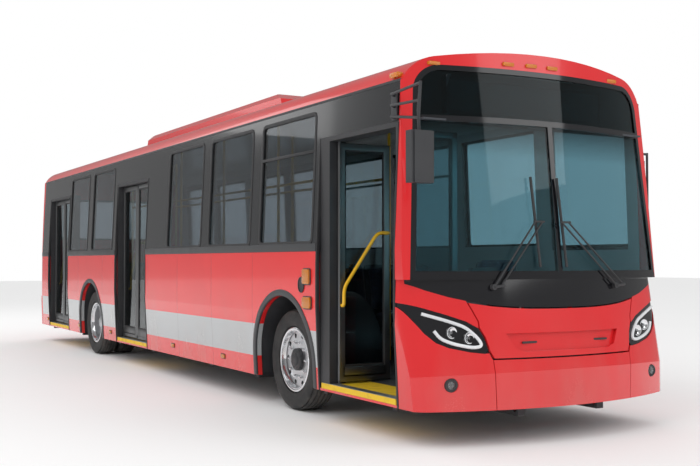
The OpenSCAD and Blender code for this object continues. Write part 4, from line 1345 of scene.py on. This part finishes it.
@dataclass
class Doorways:
    """All six leaves, the sills and the seals on the linings."""

    sill_z: float = 0.338
    jamb: float = 0.045

    def leaves(self, joints: Sequence[dict]) -> None:
        """Builds a leaf for each door joint."""
        for joint in joints:
            body = joint["child"]
            if "door" not in body:
                continue
            node = body + "_leaf"
            low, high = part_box(node)
            opened = high.x - low.x > high.y - low.y
            forward = body.endswith("_front")
            angle = 0.0
            if opened:
                angle = -math.pi / 2 if forward else math.pi / 2
            x, y = joint["pos_m"][0], joint["pos_m"][1]
            DoorLeaf(node, body, (x, y), angle, forward).build()

    def sills(self) -> None:
        """Metal strip along each doorway's edge, and upright seals on its posts."""
        strips = []
        seals = []
        for low, high in Coachwork.doorways():
            edges = (low + self.jamb, high - self.jamb)
            strips.append(slab((-1.262, edges[0], 0.331), (-1.175, edges[1], self.sill_z), Axis.Y, 0.002))
            for y in (low + 0.006, high - 0.006):
                seal = slab((-1.306, y - 0.012, BODY.skirt_z), (-1.27, y + 0.012, 2.43), Axis.Z, 0.008)
                subdivide_long(seal, 5)
                seals.append(follow_side(seal))
        mount(strips, "door_sills", SILL_METAL)
        mount(seals, "door_post_seals", RUBBER)

    def build(self, joints: Sequence[dict]) -> None:
        """Builds leaves and sills."""
        self.leaves(joints)
        self.sills()


@dataclass
class Wheels:
    """Tyres with grooves and lugs, wheel nuts, hub caps and rim lips."""

    half_w: float = 0.1275
    bead_r: float = 0.291
    radius: float = 0.465
    grooves: Tuple[float, ...] = (-0.063, -0.021, 0.021, 0.063)
    groove_half: float = 0.005
    groove_depth: float = 0.011
    nuts: int = 10
    nut_ring_r: float = 0.165
    cap_studs: int = 8
    lugs: int = 60

    def outline(self) -> List[Tuple[float, float]]:
        """Closed section of a tyre, as radius and place across."""
        wall = [(0.299, 0.0875), (0.299, 0.1015), (0.312, 0.1078), (0.33, 0.1155), (0.336, 0.1150),
                (0.36, 0.1232), (0.375, 0.1262), (0.381, 0.1254), (0.39, 0.1272), (0.42, 0.1252),
                (0.432, 0.1215), (0.448, 0.113)]
        points = [(self.bead_r, -0.0875)] + [(r, -a) for r, a in wall]
        points.append((self.radius - 0.0065, -0.100))
        for middle in self.grooves:
            crown = self.radius - 0.35 * middle * middle
            low, high = middle - self.groove_half, middle + self.groove_half
            floor = crown - self.groove_depth
            points += [(crown, low), (floor, low + 0.0015), (floor, high - 0.0015), (crown, high)]
        points.append((self.radius - 0.0065, 0.100))
        points += [(r, a) for r, a in reversed(wall)] + [(self.bead_r, 0.0875)]
        return points

    def tyre(self, centre: Point) -> bpy.types.Object:
        """One tyre round the X axis, with cut lugs on both shoulders."""
        steps = self.lugs * 2
        piece = lathe(self.outline(), centre, Axis.X, steps)
        middle = Vector(centre)

        def lug(face: Vector, _normal: Vector) -> bool:
            """Every second face of the shoulders."""
            offset = face - middle
            turn = math.atan2(offset.z, offset.y) / (2 * math.pi) * steps
            on_shoulder = 0.103 < abs(offset.x) < 0.111
            return on_shoulder and math.floor(turn + 1e-4) % 2 == 0

        pick_faces(piece, lug)
        with editing(piece):
            bpy.ops.mesh.inset(thickness=0.0012, use_individual=True)
            bpy.ops.mesh.extrude_region_shrink_fatten(TRANSFORM_OT_shrink_fatten={"value": -0.006})
        return piece

    def nut_set(self, centre: Point, face_x: float, sign: int) -> List[bpy.types.Object]:
        """A ring of wheel nuts on studs, standing outwards from face_x."""
        nut = disc((0, 0, 0), 0.0165, 0.02, Axis.X, 6, 0.002)
        stud = disc((sign * 0.014, 0, 0), 0.009, 0.016, Axis.X, 12, 0.001)
        pattern = join([nut, stud], "nut")
        places = circle_places(face_x + sign * 0.010, centre, self.nut_ring_r, self.nuts)
        made = copies(pattern, places)
        discard(pattern)
        return made

    def build_wheel(self, prefix: str, node: str, body: str) -> None:
        """Builds the tyres and the rim's small pieces of one wheel or twin pair.

        Args:
            prefix: Name of the wheel.
            node: Its packed tyre node.
            body: The body that it rides on.
        """
        sign = -1 if "right" in prefix else 1
        boxes = island_boxes(node)
        centres = [tuple((low + high) / 2) for low, high in boxes]
        tyres = [self.tyre(centre) for centre in centres]
        rubber = (0.022, 0.022, 0.023)
        finish = Tread("tyre_" + prefix, rubber, 0.62, centre_y=centres[0][1], centre_z=centres[0][2])
        mounted = mount(tyres, node + "_rubber", finish, body)
        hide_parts(node)
        outer = max(centres, key=lambda centre: abs(centre[0]))
        front = len(centres) == 1
        face = outer[0] + sign * (0.054 if front else -0.046)
        lip = [(0.274, 0.0990), (0.2965, 0.0990), (0.2965, 0.1030), (0.292, 0.1060), (0.281, 0.1060),
               (0.274, 0.1030)]
        lip_ring = lathe([(r, sign * a) for r, a in lip], outer, Axis.X, 72)
        well = [(0.2725, 0.06), (0.2725, 0.0985), (0.268, 0.0985), (0.262, 0.075), (0.255, 0.06)]
        well_ring = lathe([(r, sign * a) for r, a in well], outer, Axis.X, 72)
        bright = [lip_ring, well_ring] + self.nut_set(outer, face, sign)
        mount(bright, prefix + "_nuts_and_lip", CHROME, body)
        if front:
            cap = [(0.0, 0.108), (0.045, 0.108), (0.056, 0.102), (0.060, 0.094), (0.088, 0.092),
                   (0.101, 0.086), (0.104, 0.0545), (0.0935, 0.0545), (0.0935, 0.0905), (0.0, 0.0905)]
        else:
            cap = [(0.0, 0.050), (0.060, 0.048), (0.074, 0.040), (0.078, 0.016), (0.112, 0.012),
                   (0.119, 0.0005), (0.0, 0.0005)]
        hub = lathe([(r, sign * a) for r, a in cap], outer, Axis.X, 48)
        stud_face = outer[0] + sign * (0.091 if front else 0.014)
        studs = circle_places(stud_face, outer, 0.078 if front else 0.096, self.cap_studs, 0.5)
        pattern = disc(ORIGIN, 0.0065, 0.012, Axis.X, 6, 0.001)
        pieces = [hub] + copies(pattern, studs)
        discard(pattern)
        finish = HOUSING if front else ALLOY
        mount(pieces, prefix + "_hub_cap", finish, body)

    def build(self) -> None:
        """Builds all four wheels."""
        for side in ("right", "left"):
            self.build_wheel("front_" + side, f"front_{side}_tyre", f"front_{side}_wheel")
            self.build_wheel("rear_" + side, f"rear_{side}_tyres", f"rear_{side}_wheel")


@dataclass
class Front:
    """Headlamps, fog lamps, marker lamps, sign display and the small pieces of the nose."""

    guide_r: float = 0.013
    guide: Tuple[Tuple[float, float], ...] = (
        (1.185, 0.985), (1.02, 0.935), (0.88, 0.885), (0.79, 0.800), (0.765, 0.742), (0.84, 0.732),
        (0.98, 0.762), (1.07, 0.800), (1.11, 0.86),
    )
    fog: Tuple[float, float] = (1.02, 0.464)
    roof_lamps: Tuple[float, ...] = (-0.987, -0.363, -0.145, 0.069, 0.797)
    display: Tuple[float, float, float, float] = (-0.86, 0.69, 2.535, 2.785)
    display_y: float = -5.70
    mirrors: Tuple[Tuple[float, float, float, float], ...] = (
        (-1.377, -6.035, 2.115, 0.072), (1.407, -5.388, 2.095, 0.045)
    )

    def headlamps(self) -> None:
        """A light guide, two reflector bowls and their bulbs on each headlamp's dark housing."""
        guides = []
        bowls = []
        bulbs = []
        for sign in (-1, 1):
            path = [(sign * x, BODY.low_face(x, z) + 0.004, z) for x, z in self.guide]
            guides.append(tube(path, self.guide_r, smooth=0.05))
            for x, z in ((0.86, 0.805), (0.985, 0.845)):
                y = BODY.low_face(x, z) + 0.008
                bowl = [(0.004, 0.004), (0.020, 0.003), (0.034, -0.004), (0.040, -0.010), (0.044, -0.010),
                        (0.044, 0.010), (0.004, 0.010)]
                bowls.append(lathe(bowl, (sign * x, y, z), Axis.Y, 36))
                bulbs.append(disc((sign * x, y - 0.001, z), 0.011, 0.012, Axis.Y, 20, 0.003))
        mount(guides, "headlamp_light_guides", GUIDE)
        mount(bowls, "headlamp_bowls", CHROME)
        mount(bulbs, "headlamp_bulbs", CLEAR_LENS)

    def fog_lamps(self) -> None:
        """Round fog lamps in dark rims."""
        rims = []
        lenses = []
        for sign in (-1, 1):
            x, z = sign * self.fog[0], self.fog[1]
            y = BODY.low_face(x, z) + 0.004
            outline = [(0.034, -0.006), (0.046, -0.008), (0.051, -0.002), (0.051, 0.012), (0.034, 0.012)]
            rims.append(lathe(outline, (x, y, z), Axis.Y, 40))
            dome = [(0.0, -0.012), (0.018, -0.010), (0.030, -0.005), (0.0345, 0.002), (0.0345, 0.010),
                    (0.0, 0.010)]
            lenses.append(lathe(dome, (x, y, z), Axis.Y, 40))
        mount(rims, "fog_lamp_rims", DARK_TRIM)
        mount(lenses, "fog_lamp_lenses", CLEAR_LENS)

    def markers(self) -> None:
        """Five amber lamps over the sign glass and one on each roof edge."""
        lenses = []
        for x in self.roof_lamps:
            z = 2.925 - 0.030 * (x / 0.9) ** 2
            y = BODY.high_face(x, z)
            ends = ((x - 0.052, y - 0.014, z - 0.015), (x + 0.052, y + 0.03, z + 0.015))
            lenses.append(slab(*ends, Axis.Y, 0.008, 0.003))
        for sign in (-1, 1):
            outer = 1.3 - BODY.inset(2.80) + 0.010
            xs = sorted((sign * outer, sign * (outer - 0.05)))
            lenses.append(slab((xs[0], -5.585, 2.78), (xs[1], -5.465, 2.82), Axis.X, 0.012, 0.004))
        mount(lenses, "roof_amber_lenses", AMBER)

    def sign(self) -> None:
        """Destination display behind the sign glass, with a dark box round it."""
        left, right, low, high = self.display
        y = self.display_y
        screen = slab((left, y, low), (right, y + 0.05, high), soft=0.003)
        mount([screen], "sign_display", DISPLAY)
        corners = ((left - 0.03, y - 0.012, low - 0.03), (right + 0.03, y + 0.05, high + 0.03))
        frame = ring(*corners, Axis.Y, 0.02, 0.034)
        back = slab((-1.16, y + 0.055, 2.455), (1.16, y + 0.08, 2.865), Axis.Y, 0.15)
        shelf = slab((-1.13, y - 0.05, 2.445), (1.13, y + 0.07, 2.46), soft=0.003)
        mount([frame, back, shelf], "sign_box", CABIN)

    def lid_hardware(self) -> None:
        """Two finger strips in the lid's recess."""
        strips = []
        for x in (-0.36, 0.36):
            y = BODY.low_face(x, 0.76) + 0.024
            strips.append(slab((x - 0.07, y - 0.006, 0.752), (x + 0.07, y + 0.004, 0.768), soft=0.002))
        mount(strips, "lid_finger_strips", DARK_TRIM, "front_lid")

    def mirror_glass(self) -> None:
        """Bright glass on the rear faces of both mirror heads, in dark rims."""
        glasses = []
        rims = []
        for middle, y, z, half in self.mirrors:
            rim = half + 0.01
            ends = ((middle - half, y + 0.002, z - 0.150), (middle + half, y + 0.009, z + 0.150))
            glasses.append(slab(*ends, Axis.Y, 0.03))
            ends = ((middle - rim, y - 0.004, z - 0.160), (middle + rim, y + 0.014, z + 0.160))
            rims.append(ring(*ends, Axis.Y, 0.038, 0.012))
        mount(glasses, "mirror_glasses", CHROME)
        mount(rims, "mirror_rims", RUBBER)

    def build(self) -> None:
        """Builds the nose's pieces."""
        self.headlamps()
        self.fog_lamps()
        self.markers()
        self.sign()
        self.lid_hardware()
        self.mirror_glass()


@dataclass
class Rear:
    """Rear lamps, engine grille, window seal and blank plate."""

    lamp_x: Tuple[float, float] = (1.01, 1.15)
    lamp_z: Tuple[float, float] = (0.82, 1.42)
    louvres: int = 9
    window_over: float = 0.02

    def build(self) -> None:
        """Builds the rear's pieces."""
        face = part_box("rear_lamps")[1].y
        red = []
        amber = []
        clear = []
        order = (red, clear, amber, red)
        step = (self.lamp_z[1] - self.lamp_z[0]) / len(order)
        for index, group in enumerate(order):
            z = self.lamp_z[0] + step * (index + 0.5)
            x = sum(self.lamp_x) / 2
            dome = [(0.0, 0.016), (0.030, 0.013), (0.052, 0.005), (0.058, -0.004), (0.0, -0.004)]
            lens = lathe(dome, (x, face, z), Axis.Y, 36)
            group += [lens, mirrored(lens)]
        mount(red, "rear_red_lenses", RED_LENS)
        mount(amber, "rear_amber_lenses", AMBER)
        mount(clear, "rear_clear_lenses", CLEAR_LENS)
        lid_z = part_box("engine_lid")[0].z
        wall_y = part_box("rear_wall")[1].y
        slats = []
        for index in range(self.louvres):
            z = lid_z + 0.16 + index * 0.042
            slat = slab((-0.52, wall_y - 0.004, z - 0.014), (0.52, wall_y + 0.012, z + 0.014), Axis.X, 0.004)
            slats.append(turned(slat, math.radians(-18), Axis.X, (0, wall_y, z)))
        surround = ring((-0.55, wall_y - 0.003, lid_z + 0.12), (0.55, wall_y + 0.010, lid_z + 0.54),
                        Axis.Y, 0.02, 0.028)
        mount(slats + [surround], "engine_grille", DARK_TRIM, "engine_lid")
        ends = ((-0.07, wall_y - 0.002, lid_z + 0.045), (0.07, wall_y + 0.012, lid_z + 0.085))
        latch = slab(*ends, Axis.Y, 0.01)
        mount([latch], "engine_lid_latch", DARK_TRIM, "engine_lid")
        win_low, win_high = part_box("rear_window")
        over = self.window_over
        ends = ((win_low.x - over, wall_y - 0.02, win_low.z - over),
                (win_high.x + over, wall_y + 0.006, win_high.z + over))
        seal = ring(*ends, Axis.Y, 0.09, 0.05)
        mount([seal], "rear_window_seal", RUBBER)
        bumper_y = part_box("rear_bumper")[1].y
        plate = slab((-0.26, bumper_y - 0.004, 0.44), (0.26, bumper_y, 0.55), Axis.Y, 0.01)
        mount([plate], "blank_rear_plate", PLATE)


@dataclass
class Cushion:
    """A crowned seat pad: a round-cornered slab puffed by a short cloth simulation."""

    size: Point
    crown: float = 0.022
    voxel: float = 0.018
    frames: int = 14
    pressure: float = 4.0
    rise: float = 0.35
    seam_depth: float = 0.007
    seam_half: float = 0.018

    def build(self, name: str) -> bpy.types.Object:
        """Builds the pad about the origin.

        Args:
            name: The pad's name.

        Returns:
            The pad.
        """
        half = [part / 2 for part in self.size]
        low = tuple(-part for part in half)
        pad = slab(low, tuple(half), Axis.Z, min(half[:2]) * 0.3, min(self.size) * 0.22)
        apply_modifier(pad, "REMESH", mode="VOXEL", voxel_size=self.voxel)
        shape = [vertex.co.copy() for vertex in pad.data.vertices]
        self.puff(pad)
        for vertex, start in zip(pad.data.vertices, shape):
            move = vertex.co - start
            if move.length > self.crown:
                vertex.co = start + move.normalized() * self.crown
        for vertex in pad.data.vertices:
            across = 1 - (vertex.co.x / half[0]) ** 2
            along = 1 - (vertex.co.y / half[1]) ** 2
            if vertex.co.z > 0:
                vertex.co.z += self.rise * self.crown * max(0.0, across) * max(0.0, along)
                vertex.co.z -= self.seam_depth * math.exp(-(vertex.co.x / self.seam_half) ** 2)
        return settle(pad, name)

    def puff(self, pad: bpy.types.Object) -> None:
        """Runs the cloth simulation and applies it."""
        scene = bpy.context.scene
        activate(pad)
        modifier = pad.modifiers.new("Cloth", "CLOTH")
        settings = modifier.settings
        settings.use_pressure = True
        settings.uniform_pressure_force = self.pressure
        settings.effector_weights.gravity = 0.0
        settings.quality = 5
        for frame_number in range(1, self.frames + 1):
            scene.frame_set(frame_number)
        bpy.ops.object.modifier_apply(modifier=modifier.name)
        scene.frame_set(1)


@dataclass
class Cabin:
    """Driver's place and passenger seats with padded cushions, and the instruments."""

    seat_pad: Point = (0.40, 0.40, 0.075)
    back_pad: Point = (0.39, 0.50, 0.06)
    back_lean: float = math.radians(10)
    driver_pad: Point = (0.47, 0.44, 0.11)
    driver_back: Point = (0.45, 0.62, 0.09)
    driver_lean: float = math.radians(8)

    def passenger_seats(self) -> None:
        """Shells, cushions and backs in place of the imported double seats."""
        shells = []
        cushions = []
        backs = []
        seat = Cushion(self.seat_pad).build("seat_pattern")
        back = Cushion(self.back_pad).build("back_pattern")
        boxes = seat_rows("passenger_seats")
        for low, high in boxes:
            shells += self.shell(low, high)
            for part in (0.25, 0.75):
                x = low.x + (high.x - low.x) * part
                cushions += copies(seat, [(x, low.y + 0.225, 0.757)])
                lean = turned(copies(back, [ORIGIN])[0], math.pi / 2 - self.back_lean, Axis.X, ORIGIN)
                backs.append(moved(lean, (x, low.y + 0.478, 1.075)))
        discard(seat)
        discard(back)
        group = mount(cushions, "passenger_cushions", SEAT_CLOTH, angle=60)
        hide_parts("passenger_seats")
        group = mount(backs, "passenger_seat_backs", SEAT_CLOTH, angle=60)
        mount(shells, "passenger_seat_shells", CABIN)

    def shell(self, low: Vector, high: Vector) -> List[bpy.types.Object]:
        """One double seat's legs, pan and back shells."""
        pieces = []
        floor_z = low.z
        for x in (low.x + 0.02, high.x - 0.02):
            ends = ((x - 0.018, low.y + 0.07, floor_z), (x + 0.018, low.y + 0.39, 0.70))
            pieces.append(slab(*ends, soft=0.004))
        pieces.append(slab((low.x + 0.004, low.y + 0.01, 0.698), (high.x - 0.004, low.y + 0.445, 0.724),
                           Axis.Z, 0.04, 0.005))
        for part in (0.25, 0.75):
            x = low.x + (high.x - low.x) * part
            half = (high.x - low.x) / 4 - 0.008
            back = slab((x - half, -0.012, -0.29), (x + half, 0.012, 0.29), Axis.Y, 0.06, 0.005)
            turned(back, -self.back_lean, Axis.X, ORIGIN)
            pieces.append(moved(back, (0, low.y + 0.522, 1.05)))
        return pieces

    def driver(self) -> None:
        """The driver's seat: padded cushion and back on a boxed base."""
        low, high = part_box("driver_seat")
        x = (low.x + high.x) / 2
        cushion = Cushion(self.driver_pad).build("driver_cushion_pattern")
        cushion = moved(cushion, (x, low.y + 0.235, 0.705))
        group = mount([cushion], "driver_cushion", SEAT_CLOTH, angle=60)
        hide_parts("driver_seat")
        back = Cushion(self.driver_back).build("driver_back_pattern")
        turned(back, math.pi / 2 - self.driver_lean, Axis.X, ORIGIN)
        back = moved(back, (x, low.y + 0.545, 1.10))
        group = mount([back], "driver_seat_back", SEAT_CLOTH, angle=60)
        base = slab((x - 0.15, low.y + 0.07, low.z), (x + 0.15, low.y + 0.39, 0.62), soft=0.006)
        pan = slab((x - 0.22, low.y + 0.02, 0.62), (x + 0.22, low.y + 0.45, 0.652), Axis.Z, 0.04, 0.006)
        arm = slab((x - 0.10, low.y + 0.42, 0.60), (x + 0.10, low.y + 0.52, 0.64), soft=0.005)
        shell = slab((x - 0.20, 0.0, -0.34), (x + 0.20, 0.022, 0.30), Axis.Y, 0.06, 0.006)
        turned(shell, -self.driver_lean, Axis.X, ORIGIN)
        shell = moved(shell, (0, low.y + 0.590, 1.08))
        mount([base, pan, arm, shell], "driver_seat_frame", CABIN)

    def instruments(self) -> None:
        """Binnacle over the dashboard and round dials with plain faces."""
        wheel_low, wheel_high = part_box("steering_wheel")
        x = (wheel_low.x + wheel_high.x) / 2
        y = wheel_low.y - 0.10
        hood = slab((x - 0.27, y - 0.12, 1.13), (x + 0.27, y + 0.02, 1.235), Axis.Y, 0.05, 0.008)
        box = slab((-0.36, y - 0.02, 1.15), (-0.10, y + 0.05, 1.32), Axis.Y, 0.02, 0.006)
        mount([hood, box], "instrument_hood", HOUSING)
        dials = []
        for offset in (-0.13, 0.0, 0.13):
            outline = [(0.0, 0.004), (0.046, 0.004), (0.050, 0.009), (0.055, 0.009), (0.055, 0.0), (0.0, 0.0)]
            dials.append(lathe(outline, (x + offset, y + 0.0205, 1.18), Axis.Y, 32))
        mount(dials, "dial_rims", CHROME)

    def build(self) -> None:
        """Builds the cabin's pieces."""
        self.passenger_seats()
        self.driver()
        self.instruments()


def seat_rows(node: str) -> List[Tuple[Vector, Vector]]:
    """Boxes of the double seats: the node's solids, joined where their boxes are near.

    Args:
        node: The seats' node.

    Returns:
        One box for each double seat.
    """
    rows: List[Tuple[Vector, Vector]] = []
    for low, high in sorted(island_boxes(node), key=lambda box: box[0].y):
        for index, (row_low, row_high) in enumerate(rows):
            near_y = low.y < row_high.y + 0.02 and high.y > row_low.y - 0.02
            same_side = low.x * row_low.x > 0
            if near_y and same_side:
                rows[index] = (
                    Vector([min(a, b) for a, b in zip(low, row_low)]),
                    Vector([max(a, b) for a, b in zip(high, row_high)]),
                )
                break
        else:
            rows.append((low, high))
    return rows


@dataclass
class RoofKit:
    """Fan grilles of the air conditioning cover."""

    fans: int = 3
    fan_radii: Tuple[float, ...] = (0.235, 0.18, 0.125, 0.07)
    end_gap: float = 1.15
    sunk: float = 0.004

    def build(self) -> None:
        """Builds the round fan grilles on the cover's flat top."""
        low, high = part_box("roof_pod")
        length = high.y - low.y
        rings = []
        for index in range(self.fans):
            y = low.y + self.end_gap + index * (length - 2 * self.end_gap) / (self.fans - 1)
            for radius in self.fan_radii:
                outline = [(radius, 0.0), (radius + 0.012, 0.0), (radius + 0.012, 0.012), (radius, 0.012)]
                circle = lathe(outline, ORIGIN, Axis.Y, 40)
                turned(circle, math.pi / 2, Axis.X, ORIGIN)
                rings.append(moved(circle, (0, y, high.z - self.sunk)))
            for turn in (0, 60, 120):
                spoke = slab((-0.245, -0.006, 0), (0.245, 0.006, 0.007), soft=0.0)
                turned(spoke, math.radians(turn), Axis.Z, ORIGIN)
                rings.append(moved(spoke, (0, y, high.z - self.sunk)))
        mount(rings, "fan_grilles", DARK_TRIM)


@dataclass
class Studio:
    """Pale floor, soft light and the camera."""

    eye: Point = (-5.3051, -11.9331, 1.3737)
    turn: Point = (91.6323, 0.0, -29.8057)
    lens: float = 51.16
    floor_half: float = 60.0
    sky: float = 0.95
    mirrored_sky: float = 0.28

    def camera(self) -> None:
        """Adds the camera and makes it the scene's."""
        clear_selection()
        turn = tuple(math.radians(part) for part in self.turn)
        bpy.ops.object.camera_add(location=self.eye, rotation=turn)
        camera = bpy.context.object
        camera.data.lens = self.lens
        camera.data.sensor_width = 36.0
        camera.data.clip_end = 300.0
        bpy.context.scene.camera = camera

    def floor(self) -> None:
        """Adds the pale floor, which shows as plain background with the object's shadow."""
        clear_selection()
        bpy.ops.mesh.primitive_plane_add(size=2 * self.floor_half, location=(0, 0, 0))
        plane = settle(bpy.context.object, "studio_floor")
        graph = Graph("studio_floor_paint")
        graph.set("Base Color", graph.mix(graph.noise(0.4), (0.92, 0.92, 0.92), (0.94, 0.94, 0.94)))
        graph.set("Roughness", 0.8)
        plane.data.materials.append(graph.material)

    def light(self, name: str, place: Point, aim: Point, size: float, power: float) -> None:
        """Adds a square soft lamp at a place, aimed at a point."""
        clear_selection()
        bpy.ops.object.light_add(type="AREA", location=place)
        lamp = bpy.context.object
        lamp.name = name
        lamp.data.size = size
        lamp.data.energy = power
        toward = Vector(aim) - Vector(place)
        lamp.rotation_euler = toward.to_track_quat("-Z", "Y").to_euler()

    def world(self) -> None:
        """White surroundings to the eye and through glass, dimmer as light and in reflections."""
        world = bpy.context.scene.world or bpy.data.worlds.new("studio")
        bpy.context.scene.world = world
        world.use_nodes = True
        tree = world.node_tree
        tree.nodes.clear()
        path = tree.nodes.new("ShaderNodeLightPath")
        seen = tree.nodes.new("ShaderNodeMath")
        seen.operation = "MAXIMUM"
        tree.links.new(path.outputs["Is Camera Ray"], seen.inputs[0])
        tree.links.new(path.outputs["Is Transmission Ray"], seen.inputs[1])
        strength = tree.nodes.new("ShaderNodeMapRange")
        strength.inputs[4].default_value = 1.0
        tree.links.new(seen.outputs[0], strength.inputs[0])
        shiny = tree.nodes.new("ShaderNodeMapRange")
        shiny.inputs[3].default_value = self.sky
        shiny.inputs[4].default_value = self.mirrored_sky
        tree.links.new(path.outputs["Is Glossy Ray"], shiny.inputs[0])
        tree.links.new(shiny.outputs[0], strength.inputs[3])
        back = tree.nodes.new("ShaderNodeBackground")
        back.inputs[0].default_value = (1.0, 1.0, 1.0, 1.0)
        tree.links.new(strength.outputs[0], back.inputs[1])
        output = tree.nodes.new("ShaderNodeOutputWorld")
        tree.links.new(back.outputs[0], output.inputs[0])

    def build(self) -> None:
        """Builds the studio."""
        self.camera()
        self.floor()
        self.world()
        self.light("key_lamp", (-10.0, -6.0, 11.0), (0, -1.0, 1.2), 9.0, 380.0)
        self.light("front_lamp", (6.0, -15.0, 8.0), (0.5, -5.5, 1.4), 7.0, 240.0)
        self.light("rear_lamp", (-6.0, 13.0, 9.0), (0, 3.0, 1.4), 8.0, 260.0)
        bpy.context.scene.view_settings.view_transform = "Standard"


def main() -> None:
    """Loads the frame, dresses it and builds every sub-assembly."""
    logging.basicConfig(level=logging.INFO, format="%(name)s: %(message)s")
    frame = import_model()
    Studio().build()
    Coachwork().dress(frame["nodes"])
    SideTrim().build()
    Doorways().build(frame["joints"])
    Wheels().build()
    Front().build()
    Rear().build()
    Cabin().build()
    RoofKit().build()


if __name__ == "__main__":
    main()
